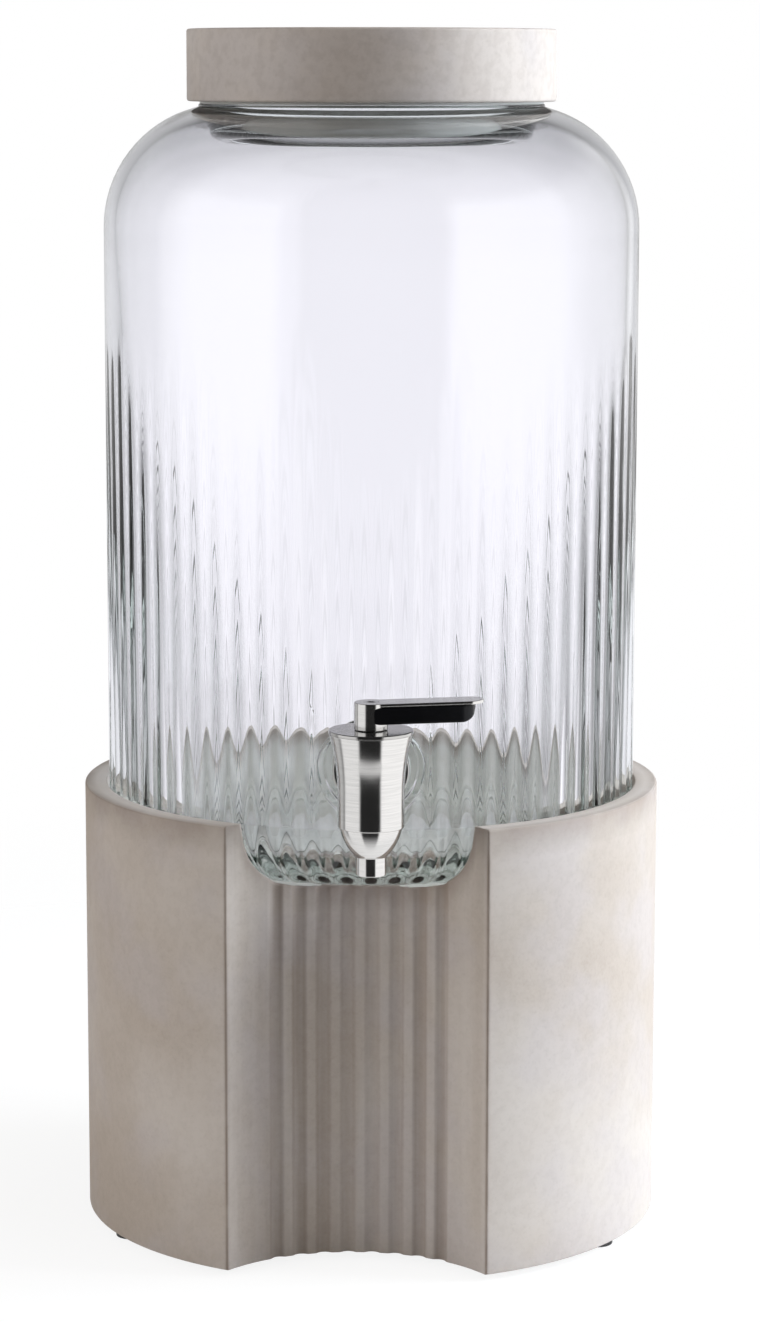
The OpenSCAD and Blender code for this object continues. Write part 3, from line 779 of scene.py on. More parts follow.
@dataclass
class Jar:
    """Ribbed glass jar with a thick mouth, and a flat boss and pad round its tap hole."""

    radius: float = 100.75
    inner: float = 96.25
    foot: float = 143.5
    top: float = 425.9
    glass: float = 4.5
    bottom: float = 8.0
    bottom_round: float = 24.0
    shoulder: float = 46.0
    mouth: float = 52.0
    rim: float = 65.0
    neck: float = 12.0
    bead: float = 4.5
    throat: float = 1.2
    ribs: int = 66
    rib_depth: float = 2.0
    rib_top: float = 339.5
    rib_power: float = 1.2
    rib_wrap: tuple[float, float] = (84.0, 34.0)
    wave_height: float = 0.10
    wave_ends: float = 40.0
    per_rib: int = 12
    merge: int = 3
    boss: float = 19.5
    boss_dip: float = 4.5
    pad: float = 17.0
    flat_soft: float = 0.4
    hole: float = 8.5
    block_columns: int = 30
    block_half: float = 23.0
    block_rows: int = 24

    def columns(self) -> np.ndarray:
        """Angles of the columns, the same number for each rib, from the first valley on."""
        count = self.ribs * self.per_rib
        return (np.arange(count) + 0.5 * self.per_rib) * 2 * np.pi / count

    def middle_column(self) -> int:
        """Number of the column at -Y, where a valley lies."""
        return (3 * self.ribs // 4) * self.per_rib

    def rib_shape(self, angle: np.ndarray) -> np.ndarray:
        """Fall of a rib: a wave, (1 - cos(n a)) / 2, that is 0 on the ribs and 1 in the valleys."""
        return 0.5 - 0.5 * np.cos(self.ribs * angle)

    def rib_fall(self, z: np.ndarray) -> np.ndarray:
        """Depth of the valleys, a power of the share of the height that is left to the ribs' top."""
        low = self.foot + self.bottom_round
        left = np.clip((self.rib_top - z) / (self.rib_top - low), 0.0, 1.0)
        return self.rib_depth * left ** self.rib_power

    def waves(self, angle: np.ndarray, z: np.ndarray) -> np.ndarray:
        """Slow unevenness of the inner wall: a sum of sines in angle and height."""
        low, high = self.foot + self.wave_ends, self.top - self.shoulder
        ends = smooth_step((z - low) / self.wave_ends) * smooth_step((high - z) / self.wave_ends)
        swell = (np.sin(5 * angle + 0.021 * z) + 0.7 * np.sin(11 * angle - 0.043 * z + 1.3)
                 + 0.5 * np.sin(19 * angle + 0.060 * z + 0.7))
        return self.wave_height * ends * swell

    def section(self) -> Section:
        """Flat, round and straight stretches of the half section, one after the other.

        Returns:
            The half section.
        """
        low, high = self.foot + self.bottom_round, self.top - self.shoulder
        mid, crown = self.radius - self.bottom_round, self.radius - self.shoulder
        under = np.array([(r, self.foot) for r in (0.0, 30.0, 55.0, 70.0)])
        turn = np.linspace(-90.0, 0.0, 15)
        bowl = arc((mid, low), self.bottom_round, turn[0], turn[-1], len(turn))
        span = np.linspace(TAP_Z - self.block_half, TAP_Z + self.block_half, self.block_rows + 1)
        wall_z = np.concatenate([span, np.linspace(span[-1], high, 36)[1:-1]])
        wall = np.stack([np.full(len(wall_z), self.radius), wall_z], axis=-1)
        reach = math.degrees(math.acos((self.rim - crown) / self.shoulder))
        dome = arc((crown, high), self.shoulder, 0, reach - 1.5, 17)
        lip_z = self.top - self.neck + self.bead
        lip = eased([(*dome[-1], 0), (self.rim, self.top - 1.0, 0.2), (self.rim, self.top, 0.6),
                     (self.mouth, self.top, 0.9), (self.mouth, lip_z, 0)], closed=False, steps=4)
        bead = arc((self.mouth + self.bead, lip_z), self.bead, 180, 360, 13)
        vault = self.shoulder - self.glass
        first = self.mouth + 2 * self.bead + self.throat
        roof = arc((crown, high), vault, math.degrees(math.acos((first - crown) / vault)), 0, 13)
        down = np.linspace(high, span[-1], 14)[1:-1]
        in_z = np.concatenate([down, span[::-1]])
        in_wall = np.stack([np.full(len(in_z), self.inner), in_z], axis=-1)
        floor_z, curl = self.foot + self.bottom, self.bottom_round - self.glass
        turn_in = arc((mid, floor_z + curl), curl, 0, -90, 11)
        turn_in[:, 1] = np.minimum(turn_in[:, 1], span[0] - 0.6)
        deck = np.array([(r, floor_z) for r in (55.0, 30.0, 0.0)])
        parts = [under, bowl, wall, dome, lip[1:], bead[1:], roof, in_wall, turn_in, deck]
        starts = np.cumsum([0] + [len(part) for part in parts])
        ribs = np.zeros((starts[-1], 3))
        a, (begin, run) = np.radians(turn), self.rib_wrap
        wrap = self.rib_depth * smooth_step((turn + begin) / run)
        ribs[starts[1]:starts[2]] = np.stack([wrap, np.cos(a), np.sin(a)], axis=-1)
        ribs[starts[2]:starts[3], 0] = self.rib_fall(wall_z)
        ribs[starts[2]:starts[3], 1] = 1.0
        inside = starts[7] + len(down)
        return Section(np.concatenate(parts), ribs, slice(starts[2], starts[2] + self.block_rows),
                       slice(inside, inside + self.block_rows), slice(starts[7], starts[8]))

    def flat_edge(self, rise: np.ndarray, outside: bool) -> np.ndarray:
        """Radius of the boss or pad by the sine of the angle above level. The boss's top dips."""
        dipped = self.boss - self.boss_dip * np.clip(rise, 0.0, 1.0) ** 2
        return dipped if outside else self.pad + 0 * rise

    def wall_point(self, lean: np.ndarray, z: np.ndarray, outside: bool) -> np.ndarray:
        """Wall near the tap, at an angle from -Y: the ribbed or inner wall, or the boss or pad.

        Within the edge of the boss or pad the wall goes over to a plane, through a soft step.

        Args:
            lean: Angles from -Y in radians.
            z: Heights.
            outside: Whether the outer or the inner wall is meant.

        Returns:
            Points (..., 3).
        """
        angle = lean - np.pi / 2
        if outside:
            face, big = BOSS_FACE, self.radius
            r = big - self.rib_fall(z) * self.rib_shape(angle)
        else:
            face, big = PAD_FACE, self.inner
            r = big + self.waves(angle, z)
        flat_x = big * np.sin(lean)
        away = np.hypot(flat_x, z - TAP_Z)
        edge = self.flat_edge((z - TAP_Z) / away, outside)
        share = smooth_step((edge + self.flat_soft - away) / (2 * self.flat_soft))
        x = (1 - share) * r * np.sin(lean) + share * flat_x
        y = -(1 - share) * r * np.cos(lean) - share * face
        return np.stack([x, y, z], axis=-1)

    def patch(self, outside: bool) -> tuple[Surface, np.ndarray]:
        """Rings from the block's square edge in to the tap hole, close at the boss's or pad's edge.

        Args:
            outside: Whether the outer or the inner wall is meant.

        Returns:
            The surface, and the points round the hole.
        """
        big = self.radius if outside else self.inner
        near = np.arange(-self.block_columns, self.block_columns + 1)
        middle = self.middle_column()
        lean = self.columns()[middle + near] - 1.5 * np.pi
        share = 1 if outside else self.merge
        shared = self.columns()[middle + near // share * share] - 1.5 * np.pi
        z = TAP_Z + np.linspace(-self.block_half, self.block_half, self.block_rows + 1)
        low, high = np.full_like(lean, z[0]), np.full_like(lean, z[-1])
        left, right = np.full_like(z, lean[0]), np.full_like(z, lean[-1])
        loop_lean = np.concatenate([lean[:-1], right[:-1], lean[:0:-1], left[:0:-1]])
        edge_lean = np.concatenate([shared[:-1], right[:-1], shared[:0:-1], left[:0:-1]])[None]
        loop_z = np.concatenate([low[:-1], z[:-1], high[:0:-1], z[:0:-1]])
        around = np.arctan2(loop_z - TAP_Z, big * np.sin(loop_lean))
        beside = np.array([1.7, 1.1, 0.7, 0.4, 0.2, 0.0, -0.2, -0.4, -0.8, -2.0, -4.5])[:, None]
        hole = self.hole + np.array([1.0, 0.0])[:, None]
        edge = self.flat_edge(np.sin(around), outside)
        reach = np.concatenate([edge + beside, hole + 0 * around])
        ring_lean = np.arcsin(reach * np.cos(around) / big)
        ring_z = TAP_Z + reach * np.sin(around)
        t = np.linspace(0.0, 1.0, 10, endpoint=False)[1:, None]
        all_lean = np.concatenate([edge_lean, (1 - t) * loop_lean + t * ring_lean[:1], ring_lean])
        all_z = np.concatenate([loop_z[None], (1 - t) * loop_z + t * ring_z[:1], ring_z])
        points = self.wall_point(all_lean, all_z, outside)
        surface = Surface.grid(points)
        return (surface if outside else surface.flipped()), points[-1]

    def glass_wall(self) -> Surface:
        """Section turned about the axis, pressed in between the ribs, with the tap hole.

        Rows without ribs share their columns in threes, which the merging of points joins up.

        Returns:
            The surface.
        """
        section = self.section()
        count = self.ribs * self.per_rib
        fine = np.arange(count)
        ribbed = section.ribs[:, :1] > 0
        a = self.columns()[np.where(ribbed, fine, fine // self.merge * self.merge)]
        fall = section.ribs[:, :1] * self.rib_shape(a)
        r = section.points[:, :1] - fall * section.ribs[:, 1:2]
        z = section.points[:, 1:] - fall * section.ribs[:, 2:]
        r[section.wavy] += self.waves(a, z)[section.wavy]
        points = np.stack([r * np.cos(a), r * np.sin(a), z], axis=-1)
        keep = np.ones((len(points) - 1, count), bool)
        middle = self.middle_column()
        columns = slice(middle - self.block_columns, middle + self.block_columns)
        keep[section.outside, columns] = False
        keep[section.inside, columns] = False
        outer, outer_hole = self.patch(outside=True)
        inner, inner_hole = self.patch(outside=False)
        tube = Surface.grid(np.stack([outer_hole, inner_hole]))
        return Surface.grid(points, keep) + outer + inner + tube

    def build(self, shop: Workshop) -> None:
        """Makes the jar. Its glass lets the lamps through without a shadow."""
        jar = shop.piece("ribbed_jar", self.glass_wall(), Body.JAR, Slot.CLEAR_GLASS, "jar_glass",
                         sharp=60.0)
        jar.visible_shadow = False


@dataclass
class Lid:
    """Concrete lid and the pale seal under it."""

    radius: float = 69.3
    low: float = 426.8
    top: float = 453.5
    plug: float = 49.2
    plug_low: float = 418.8
    # Share of painted shade on the plug.
    plug_painted_shade: float = 1.6
    edge: float = 1.1
    seal_low: float = 425.9
    seal_radius: float = 64.5
    seal_bore: float = 49.25
    sleeve: float = 50.8
    lip: float = 51.7
    lip_height: float = 1.6
    lip_pitch: float = 3.0

    def block(self) -> Surface:
        """Disc with a plug below that painted shade darkens, turned from one eased profile.

        Returns:
            The surface.
        """
        block = disc([(0, self.plug_low, 0), (self.plug, self.plug_low, 0.8),
                      (self.plug, self.low, 0), (self.radius, self.low, self.edge),
                      (self.radius, self.top, self.edge), (0, self.top, 0)], 160)
        # Painted shade on the plug, which sits under the lid in the jar's neck.
        block.marks["groove"] = self.plug_painted_shade * (block.points[:, 2] < self.low - 0.05)
        return block

    def seal(self) -> Surface:
        """Flat ring under the lid, with a sleeve and two lips that press on the mouth."""
        corners = [(self.seal_bore, self.plug_low, 0.1)]
        for foot in (self.plug_low, self.plug_low + self.lip_pitch):
            tip = foot + self.lip_height
            corners += [(self.sleeve, foot, 0.1), (self.lip, tip, 0.15), (self.sleeve, tip, 0.1)]
        corners += [(self.sleeve, self.seal_low, 0.2), (self.seal_radius, self.seal_low, 0.2),
                    (self.seal_radius, self.low, 0.2), (self.seal_bore, self.low, 0.1)]
        return ring(corners, 160, steps=4)

    def build(self, shop: Workshop) -> None:
        """Makes the pieces of the lid."""
        shop.piece("concrete_lid", self.block(), Body.LID, Slot.LID_CONCRETE, "lid_block")
        shop.piece("lid_ring", self.seal(), Body.LID, Slot.PALE_SILICONE, "lid_seal")


@dataclass
class Tap:
    """Turned steel tap: body, bonnet, spout, and the shank with what clamps it in the glass."""

    body_low: float = 175.5
    body_top: float = 209.1
    body_radius: float = 11.8
    top_radius: float = 15.0
    flare: float = 22.0
    bore: float = 7.05
    socket: float = 8.65
    socket_low: float = 3.6
    socket_top: float = 3.0
    bonnet_top: float = 210.3
    plug: float = 8.6
    spigot: float = 2.6
    spout_radius: float = 11.2
    spout_lean: float = 12.0
    spout_round: float = 10.6
    nozzle_radius: float = 5.45
    nozzle: float = 6.6
    port: float = 4.0
    shank: float = 8.0
    shank_hole: float = 8.05
    shank_in: float = 80.94
    shank_seat: float = 1.5
    thread_pitch: float = 1.5
    thread_depth: float = 0.6
    flange: float = 13.6
    flange_thick: float = 3.0
    washer: float = 14.0
    soft_washer: float = 2.0
    steel_washer: float = 1.5
    nut_width: float = 24.0
    nut_thick: float = 6.0
    nut_cone: float = 0.7
    columns: int = 128

    def body(self) -> Surface:
        """Waist and hollow flare: r = r0 + f - sqrt(f^2 - h^2) above the flare's foot."""
        out = self.top_radius - self.body_radius
        f = (self.flare ** 2 + out ** 2) / (2 * out)
        h = np.linspace(0.0, self.flare - 0.5, 20)
        flare = np.stack([self.body_radius + f - np.sqrt(f ** 2 - h ** 2),
                          self.body_top - self.flare + h], axis=-1)
        floor, roof = self.body_low + self.socket_low, self.body_top - self.socket_top
        low = eased([(self.bore, floor, 0), (self.socket, floor, 0),
                     (self.socket, self.body_low, 0.1), (self.body_radius, self.body_low, 0.5),
                     (*flare[0], 0)], closed=False)
        high = eased([(*flare[-1], 0), (self.top_radius, self.body_top, 0.25),
                      (self.socket, self.body_top, 0.1), (self.socket, roof, 0),
                      (self.bore, roof, 0)], closed=False)
        return lathe(np.concatenate([low[:-1], flare, high[1:]]), True, self.columns, Axis.TAP)

    def bonnet(self) -> Surface:
        """Round cover with an eased rim and a plug that goes into the body."""
        deep = self.body_top - self.socket_top
        return ring([(STEM_HOLE, deep, 0.1), (self.plug, deep, 0.2), (self.plug, self.body_top, 0),
                     (self.top_radius, self.body_top, 0.15),
                     (self.top_radius, self.bonnet_top, 0.45),
                     (STEM_HOLE, self.bonnet_top, 0.1)], self.columns, Axis.TAP)

    def spout(self) -> Surface:
        """Round dome down to a straight nozzle, with the spigot that goes into the body.

        The dome is an arc that leans in by an angle a at the seam and by b = 2c - a at the
        nozzle, where c is the lean of the straight line between its ends. Its radius is the
        loss of radius divided by cos a - cos b.

        Returns:
            The surface.
        """
        out = self.spout_radius - self.nozzle_radius
        lean = math.radians(self.spout_lean)
        last = 2 * math.atan2(out, self.spout_round) - lean
        f = out / (math.cos(lean) - math.cos(last))
        centre = (self.spout_radius - f * math.cos(lean), self.body_low + f * math.sin(lean))
        dome = arc(centre, f, -math.degrees(last), -self.spout_lean, 18)
        end, up = self.body_low - self.spout_round - self.nozzle, self.body_low + self.spigot
        low = eased([(self.port, end, 0.2), (self.nozzle_radius, end, 0.45), (*dome[0], 0)],
                    closed=False)
        high = eased([(*dome[-1], 0), (self.plug, self.body_low, 0), (self.plug, up, 0.2),
                      (self.port, up, 0)], closed=False)
        return lathe(np.concatenate([low[:-1], dome, high[1:]]), True, self.columns, Axis.TAP)

    def inlet(self) -> Surface:
        """Threaded tube with a flange, turned about the shank's line: rings, not a helix."""
        turns = int((PAD_FACE - self.shank_in) / self.thread_pitch)
        k = np.arange(2 * turns)
        thread = np.stack([self.shank - self.thread_depth * (k % 2 == 0),
                           self.shank_in + k * self.thread_pitch / 2], axis=-1)
        near = BOSS_FACE + self.soft_washer
        far, end = near + self.flange_thick, self.shank_seat - TAP_Y - self.body_radius
        rest = eased([(self.shank, PAD_FACE, 0), (self.shank, near, 0.05),
                      (self.flange, near, 0.3), (self.flange, far, 0.6), (self.shank, far, 0.4),
                      (self.shank, end, 0.1), (self.port, end, 0)], closed=False)
        profile = np.concatenate([[(self.port, self.shank_in)], thread, rest])
        return lathe(profile, True, 96, Axis.SHANK)

    def washer_ring(self, start: float, thick: float) -> Surface:
        """Flat ring on the shank's line, from one distance out towards the tap."""
        bore, end = self.shank_hole, start + thick
        return ring([(bore, start, 0.1), (self.washer, start, 0.25), (self.washer, end, 0.25),
                     (bore, end, 0.1)], 96, Axis.SHANK)

    def nut(self) -> Surface:
        """Hexagon r = (w / 2) / cos(a mod 60 - 30), its corners cut back by a cone at both faces."""
        a = np.linspace(0.0, 360.0, 96, endpoint=False)
        hexagon = self.nut_width / 2 / np.cos(np.radians(np.mod(a, 60.0) - 30.0))
        face = np.minimum(hexagon, self.nut_width / 2 + 0.3)
        bore = np.full_like(a, self.shank_hole)
        far = PAD_FACE - self.soft_washer - self.steel_washer
        near, cone = far - self.nut_thick, self.nut_cone
        r = np.stack([bore, face, hexagon, hexagon, face, bore, bore])
        h = np.array([near, near, near + cone, far - cone, far, far, near])[:, None] + 0 * a
        angle = np.radians(a)
        points = np.stack([r * np.cos(angle), -h, TAP_Z + r * np.sin(angle)], axis=-1)
        return Surface.grid(points)

    def build(self, shop: Workshop) -> None:
        """Makes the pieces of the tap."""
        steel, satin, silicone = Slot.POLISHED_STEEL, Slot.SATIN_STEEL, Slot.PALE_SILICONE
        shop.piece("tap_barrel", self.body(), Body.JAR, steel, "tap_body")
        shop.piece("tap_cover", self.bonnet(), Body.JAR, satin, "tap_bonnet")
        shop.piece("tap_nozzle", self.spout(), Body.JAR, steel, "tap_spout")
        shop.piece("tap_shank", self.inlet(), Body.JAR, satin, "inlet_shank", sharp=30.0)
        shop.piece("tap_nut", self.nut(), Body.JAR, satin, "lock_nut", sharp=25.0)
        soft, hard = self.soft_washer, self.steel_washer
        for name, start, thick, slot, node in (
                ("washer_outside", BOSS_FACE, soft, silicone, "outer_washer"),
                ("washer_inside", PAD_FACE - soft, soft, silicone, "inner_washer"),
                ("washer_steel", PAD_FACE - soft - hard, hard, satin, "backing_washer")):
            shop.piece(name, self.washer_ring(start, thick), Body.JAR, slot, node)


@dataclass
class Lever:
    """Post with a thin steel strap, and the black grip under the strap."""

    post: float = 6.0
    low: float = 210.5
    top: float = 220.1
    stem_deep: float = 6.0
    screw: float = 2.75
    screw_deep: float = 1.6
    screw_hole: float = 1.55
    reach: float = 39.5
    strap: float = 1.2
    strap_edge: float = 0.3
    half_width: float = 5.5
    grip_gap: float = 0.1
    grip_end: float = 36.5
    grip_top: float = -1.25
    grip_low: float = -7.45
    grip_round: float = 4.6
    grip_power: float = 0.2
    flare: float = 0.48
    flare_run: float = 2.5
    rise: float = 2.0

    def raised(self, points: np.ndarray) -> np.ndarray:
        """Points of the level lever, turned up by its rise about a line half way out the post."""
        c, s = math.cos(math.radians(self.rise)), math.sin(math.radians(self.rise))
        x, y, z = points[..., 0] - self.post / 2, points[..., 1], points[..., 2]
        return np.stack([self.post / 2 + c * x - s * z, y + TAP_Y, self.top + s * x + c * z], -1)

    def hub(self) -> Surface:
        """Post turned from an eased profile, open for the stem below and the screw above."""
        floor, seat = self.low + self.stem_deep, self.top - self.screw_deep
        post = ring([(STEM_HOLE, self.low, 0.1), (self.post, self.low, 0.25),
                     (self.post, self.top, 0.25), (self.screw, self.top, 0.1),
                     (self.screw, seat, 0), (self.screw_hole, seat, 0),
                     (self.screw_hole, floor, 0), (STEM_HOLE, floor, 0)], 96, Axis.TAP)
        return post + self.strap_plate()

    def strap_plate(self) -> Surface:
        """Strap with a round end: each outline point moves from its foot on the middle line.

        Rows go from the middle of the underside out, round the thin edge and back over the top:
        p = foot + f (outline - foot), with f and the height set for each row.

        Returns:
            The surface.
        """
        w, e, t = self.half_width, self.strap_edge, -self.strap
        start, end = self.post / 2 + 0.3, self.reach - w
        sides = np.linspace(start, end, 12)[:-1]
        lower = np.stack([sides, np.full_like(sides, -w)], axis=-1)
        upper = lower[::-1] * np.array([1.0, -1.0])
        outline = np.concatenate([lower, arc((end, 0.0), w, -90, 90, 21), upper])
        foot = np.stack([np.minimum(outline[:, 0], end), 0 * outline[:, 0]], axis=-1)
        out = [0.0, 1 - 2 * e / w, 1 - e / w, 1 - 0.3 * e / w, 1.0]
        f = np.array(out + out[::-1])[:, None, None]
        height = np.array([t, t, t, t + 0.3 * e, t + e, -e, -0.3 * e, 0, 0, 0])[:, None]
        plan = foot + f * (outline - foot)
        return Surface.grid(self.raised(np.stack(
            [plan[..., 0], plan[..., 1], height + 0 * plan[..., 0]], axis=-1)))

    def grip(self) -> Surface:
        """Rounded section carried out along the strap's underside.

        The section is |cos|^p, |sin|^p of an angle, a rounded rectangle. Its half width falls
        as sqrt(w^2 - x^2) and its underside rises as a circle towards the end. The near end
        widens by f exp(-x / run) to clasp the post and follows it: x = sqrt(r^2 - y^2).

        Returns:
            The surface.
        """
        a = np.linspace(0.0, 2 * np.pi, 64, endpoint=False)
        c, s = np.round(np.cos(a), 9), np.round(np.sin(a), 9)
        across, tall = (np.sign(v) * np.abs(v) ** self.grip_power for v in (c, s))
        hug = self.post + self.grip_gap
        lead, pinch = [0.0, 0.012, 0.03], [0.99, 0.998, 1.0]
        tail = 1 - 0.2 * np.cos(np.linspace(0.12, np.pi / 2, 14))
        t = np.concatenate([lead, np.linspace(0.08, 0.8, 12), tail])
        along = hug + t * (self.grip_end - hug)
        swell = np.concatenate([pinch, np.ones(len(t) - len(lead))])
        past = np.clip((along - self.grip_end) / self.half_width + 1, 0.0, 1.0)
        half = (self.half_width + self.grip_gap) * np.sqrt(1 - past ** 2) * swell
        half = half + self.flare * np.exp((hug - along) / self.flare_run)
        drop = np.clip((along - self.grip_end) / self.grip_round + 1, 0.0, 1.0)
        low = self.grip_low + self.grip_round * (1 - np.sqrt(1 - drop ** 2))
        mid, high = (self.grip_top + low) / 2, (self.grip_top - low) / 2 * swell
        y = half[:, None] * across
        z = mid[:, None] + high[:, None] * tall
        near = np.sqrt(np.maximum(hug ** 2 - y ** 2, 0.0))
        bar = np.stack([near + t[:, None] * (self.grip_end - near), y, z], axis=-1)
        shrink = np.array([0.0, 0.45, 0.8, 0.95])[:, None]
        cap_y, cap_z = shrink * y[0], mid[0] + shrink * (z[0] - mid[0])
        cap = np.stack([np.sqrt(np.maximum(hug ** 2 - cap_y ** 2, 0.0)), cap_y, cap_z], axis=-1)
        return Surface.grid(self.raised(np.concatenate([cap, bar])))

    def build(self, shop: Workshop) -> None:
        """Makes the pieces of the lever."""
        shop.piece("lever_post", self.hub(), Body.LEVER, Slot.POLISHED_STEEL, "lever_hub")
        shop.piece("lever_handle", self.grip(), Body.LEVER, Slot.BLACK_PLASTIC, "lever_grip",
                   sharp=50.0)


def place(name: str, data: bpy.types.ID, *columns: np.ndarray) -> bpy.types.Object:
    """Puts a camera or lamp into the scene.

    Args:
        name: Name of the object.
        data: The camera or lamp.
        columns: Its own X, Y and Z directions, and its place in metres.

    Returns:
        The object.
    """
    turn = np.eye(4)
    turn[:3] = np.stack(columns, axis=-1)
    obj = bpy.data.objects.new(name, data)
    obj.matrix_world = Matrix(turn.tolist())
    bpy.context.scene.collection.objects.link(obj)
    return obj


@dataclass(frozen=True)
class Lamp:
    """Soft lamp that faces the object: degrees from -Y towards +X, metres and watts."""

    name: str
    azimuth: float
    height: float
    distance: float
    size: tuple[float, float]
    power: float
    colour: Colour
    aim: float = 0.22

    def build(self) -> None:
        """Makes the lamp, which isn't itself seen, mirrored or seen through glass."""
        data = bpy.data.lights.new(self.name, "AREA")
        data.shape, data.size, data.size_y = "RECTANGLE", *self.size
        data.energy, data.color = self.power, self.colour
        a = math.radians(self.azimuth)
        spot = np.array([self.distance * math.sin(a), -self.distance * math.cos(a), self.height])
        back = spot - np.array([0.0, 0.0, self.aim])
        back /= np.linalg.norm(back)
        side = np.cross([0.0, 0.0, 1.0], back)
        side /= np.linalg.norm(side)
        lamp = place(self.name, data, side, np.cross(back, side), back, spot)
        lamp.visible_camera = lamp.visible_glossy = lamp.visible_transmission = False


@dataclass(frozen=True)
class Band:
    """Upright band of the surroundings: its middle, half width and half soft edge in degrees."""

    centre: float
    half: float
    soft: float
    level: float = 1.0

    def share(self, s: Shader, azimuth: Socket) -> Socket:
        """The band's level within its width, fading to 0 over its soft edges.

        Args:
            s: Calls of the world's tree.
            azimuth: Angle from -Y towards +X, in radians.

        Returns:
            The level.
        """
        away = s.maths("SUBTRACT", azimuth, math.radians(self.centre))
        away = s.maths("ABSOLUTE", s.maths("WRAP", away, math.pi, -math.pi))
        outer, inner = math.radians(self.half + self.soft), math.radians(self.half - self.soft)
        return s.fade(away, outer, inner, 0.0, self.level)


LAMPS = (
    Lamp("right_softbox", 88.0, 0.50, 1.2, (0.6, 1.0), 26.5, (0.84, 0.92, 1.0)),
    Lamp("near_softbox", 54.0, 0.42, 1.5, (0.8, 1.0), 2.7, (0.94, 0.96, 1.0)),
    Lamp("top_softbox", 80.0, 1.50, 0.45, (0.8, 0.8), 7.0, (1.0, 1.0, 1.0)),
    Lamp("left_softbox", -66.0, 0.45, 1.3, (0.8, 1.1), 8.6, (1.0, 0.965, 0.925)),
)


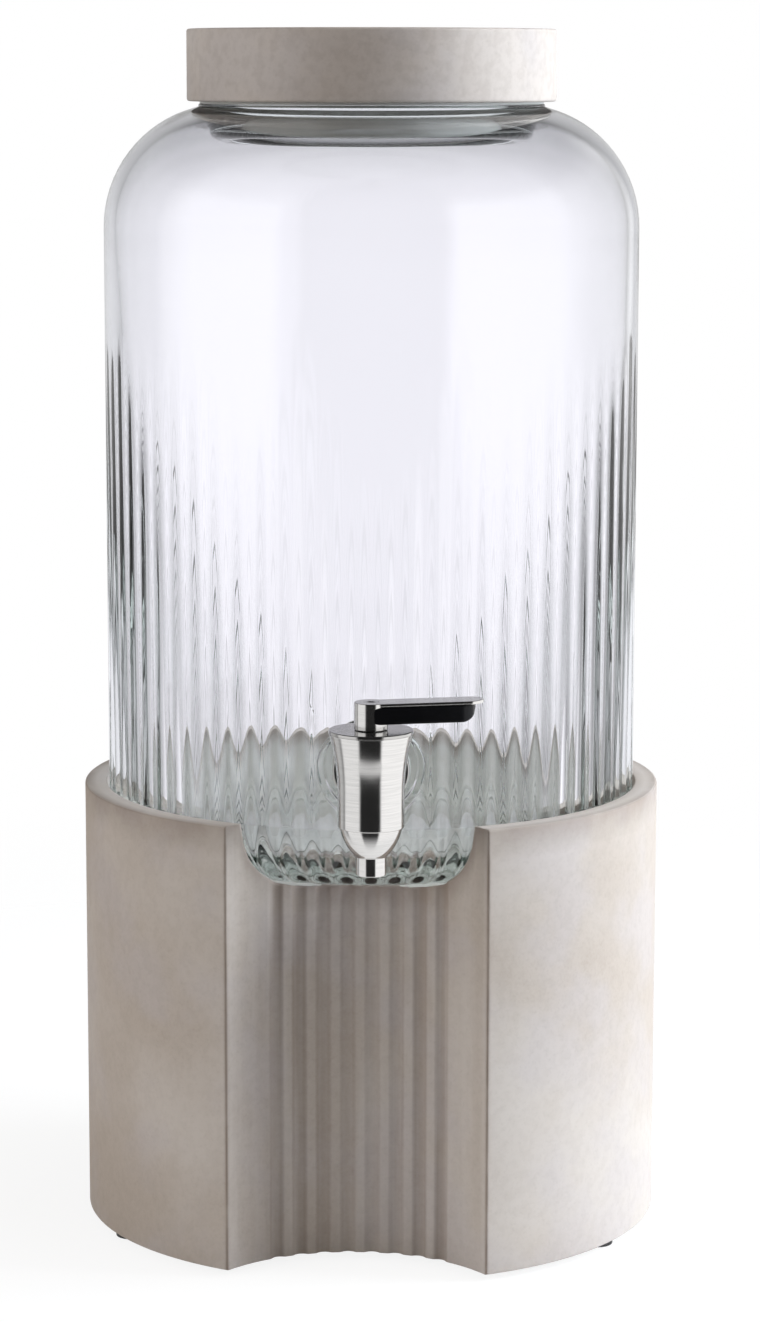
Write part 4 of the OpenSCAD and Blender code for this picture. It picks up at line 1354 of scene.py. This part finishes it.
@dataclass
class Studio:
    """Camera, lamps, white surroundings and floor."""

    eye: tuple[float, float, float] = (0.0, -1408.1, 439.4)
    pitch: float = 9.090
    yaw: float = 0.138
    roll: float = 0.077
    lens: float = 101.07
    left: Band = Band(-70.0, 31.0, 5.0)
    right: Band = Band(92.0, 59.0, 5.0, 1.25)
    rear: Band = Band(-158.0, 52.0, 12.0, 0.60)
    strip: Band = Band(0.0, 60.0, 5.0, 0.85)
    strip_sine: float = -0.458
    left_dip: Band = Band(-128.0, 22.0, 8.0, 0.32)
    right_dip: Band = Band(128.0, 22.0, 8.0, 0.54)
    wings: Band = Band(0.0, 167.0, 8.0, 0.12)
    behind: Band = Band(180.0, 84.0, 6.0)
    backdrop: float = 1.08
    least_mirrored: float = 0.025
    least_through: float = 0.45
    through_hue: Colour = (0.958, 0.940, 1.0)
    matt_panels: float = 0.17
    matt_rest: float = 0.085
    floor_radius: float = 900.0
    floor_z: float = -0.05
    floor_glow: float = 0.87
    floor_shade: float = 0.17
    floor_plain: float = 0.80

    def camera(self) -> None:
        """Camera of the photograph: turned by its yaw, tipped down by its pitch, then rolled."""
        p, y, r = (math.radians(v) for v in (self.pitch, self.yaw, self.roll))
        right = np.array([math.cos(y), -math.sin(y), 0.0])
        level = np.array([math.sin(y), math.cos(y), 0.0])
        up = np.array([0.0, 0.0, 1.0])
        ahead = math.cos(p) * level - math.sin(p) * up
        above = math.sin(p) * level + math.cos(p) * up
        side = math.cos(r) * right + math.sin(r) * above
        above = -math.sin(r) * right + math.cos(r) * above
        data = bpy.data.cameras.new("camera")
        data.lens, data.sensor_width, data.sensor_fit = self.lens, 36.0, "AUTO"
        data.clip_start, data.clip_end = 0.05, 50.0
        spot = np.array(self.eye) * MM
        bpy.context.scene.camera = place("camera", data, side, above, -ahead, spot)

    def world(self) -> None:
        """White for the camera. Glass and metal see a studio, and matt surfaces its weak light.

        The studio is dark in front, has a panel on the left and a wider one on the right, and a
        white backdrop that dims on both sides. All of it ends in a dark ceiling. Mirror images
        also show a light strip low in front.
        """
        world = bpy.data.worlds.new("studio")
        world.use_nodes = True
        bpy.context.scene.world = world
        s = Shader(world.node_tree)
        x, y, rise = s.add("SeparateXYZ", {0: s.add("TexCoord").outputs["Generated"]}).outputs
        azimuth = s.maths("ARCTAN2", x, s.times(y, -1.0))
        path = s.add("LightPath").outputs
        panels = s.plus(self.left.share(s, azimuth), self.right.share(s, azimuth))
        glossy = s.times(s.plus(panels, self.rear.share(s, azimuth)), s.fade(rise, 0.62, 0.36))
        glossy = s.plus(glossy, self.least_mirrored)
        off_strip = s.maths("ABSOLUTE", s.maths("SUBTRACT", rise, self.strip_sine))
        strip = s.times(s.fade(off_strip, 0.075, 0.040), self.strip.share(s, azimuth))
        backdrop = 1.0
        for dip in (self.left_dip, self.right_dip, self.wings):
            backdrop = s.maths("SUBTRACT", backdrop, dip.share(s, azimuth))
        backdrop = s.times(backdrop, s.fade(rise, 0.16, -0.06, 0.62, 1.0))
        backdrop = s.times(backdrop, s.fade(rise, 0.60, 0.10, 0.15, 1.0))
        backdrop = s.times(backdrop, self.backdrop)
        front = s.most(glossy, self.least_through)
        through = s.between(self.behind.share(s, azimuth), front, backdrop)
        matt = s.plus(s.times(panels, self.matt_panels), self.matt_rest)
        scattered = s.maths("MINIMUM", path["Diffuse Depth"], 1.0)
        level = s.between(path["Is Glossy Ray"], matt, s.most(glossy, strip))
        level = s.between(path["Is Transmission Ray"], level, through)
        level = s.between(scattered, level, matt)
        level = s.between(path["Is Camera Ray"], level, 1.0)
        cool = s.times(path["Is Transmission Ray"], s.maths("SUBTRACT", 1.0, scattered))
        hue = s.mix(cool, (1.0, 1.0, 1.0), self.through_hue)
        shade = s.add("Background", {"Color": hue, "Strength": level})
        s.add("OutputWorld", {"Surface": shade.outputs[0]})

    def floor(self) -> None:
        """Pale floor that is white where it is seen, keeps the shadow and fades at its edge."""
        rings = np.linspace(0.0, self.floor_radius, 24)
        profile = np.stack([rings, 0 * rings + self.floor_z], axis=-1)
        obj = lathe(profile, False, 96).to_object("floor", 30.0)
        material, s = new_material("pale_floor")
        path = s.add("LightPath").outputs
        seen = s.most(path["Is Camera Ray"],
                      s.most(path["Is Glossy Ray"], path["Is Transmission Ray"]))
        seen = s.times(seen, s.maths("LESS_THAN", path["Diffuse Depth"], 0.5))
        glow = s.add("Emission", {"Color": (1.0, 1.0, 1.0, 1.0), "Strength": self.floor_glow})
        thin, plain = (s.add("BsdfDiffuse", {"Color": (grey, grey, grey, 1.0)})
                       for grey in (self.floor_shade, self.floor_plain))
        white = s.add("AddShader", {0: glow.outputs[0], 1: thin.outputs[0]})
        both = s.add("MixShader", {0: seen, 1: plain.outputs[0], 2: white.outputs[0]})
        spread = s.add("VectorMath", {0: s.add("TexCoord").outputs["Object"]}, operation="LENGTH")
        away = spread.outputs["Value"]
        edge = s.between(path["Is Glossy Ray"], s.fade(away, 0.35, 0.85), s.fade(away, 0.16, 0.34))
        clear = s.add("BsdfTransparent")
        end = s.add("MixShader", {0: edge, 1: both.outputs[0], 2: clear.outputs[0]})
        s.add("OutputMaterial", {"Surface": end.outputs[0]})
        obj.data.materials.append(material)

    def build(self) -> None:
        """Sets up the whole studio."""
        bpy.context.scene.view_settings.view_transform = "Standard"
        self.camera()
        self.world()
        self.floor()
        for lamp in LAMPS:
            lamp.build()


HIDDEN_NODES = {
    "plug_seat": Slot.WHITE_PLASTIC,
    "spout_oring": Slot.BLACK_RUBBER,
    "stop_pin": Slot.SATIN_STEEL,
    "valve_plug": Slot.WHITE_PLASTIC,
    "plug_orings": Slot.BLACK_RUBBER,
    "spring_washer": Slot.SATIN_STEEL,
    "lever_screw": Slot.SATIN_STEEL,
}


def main() -> None:
    """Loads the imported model, makes the pieces in order and sets up the studio."""
    logging.basicConfig(level=logging.INFO, format="%(message)s")
    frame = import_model()
    shop = Workshop()
    for assembly in (Base(), Jar(), Lid(), Tap(), Lever()):
        assembly.build(shop)
    for name, slot in HIDDEN_NODES.items():
        shop.dress(frame["nodes"][name], slot)
    Studio().build()


if __name__ == "__main__":
    main()
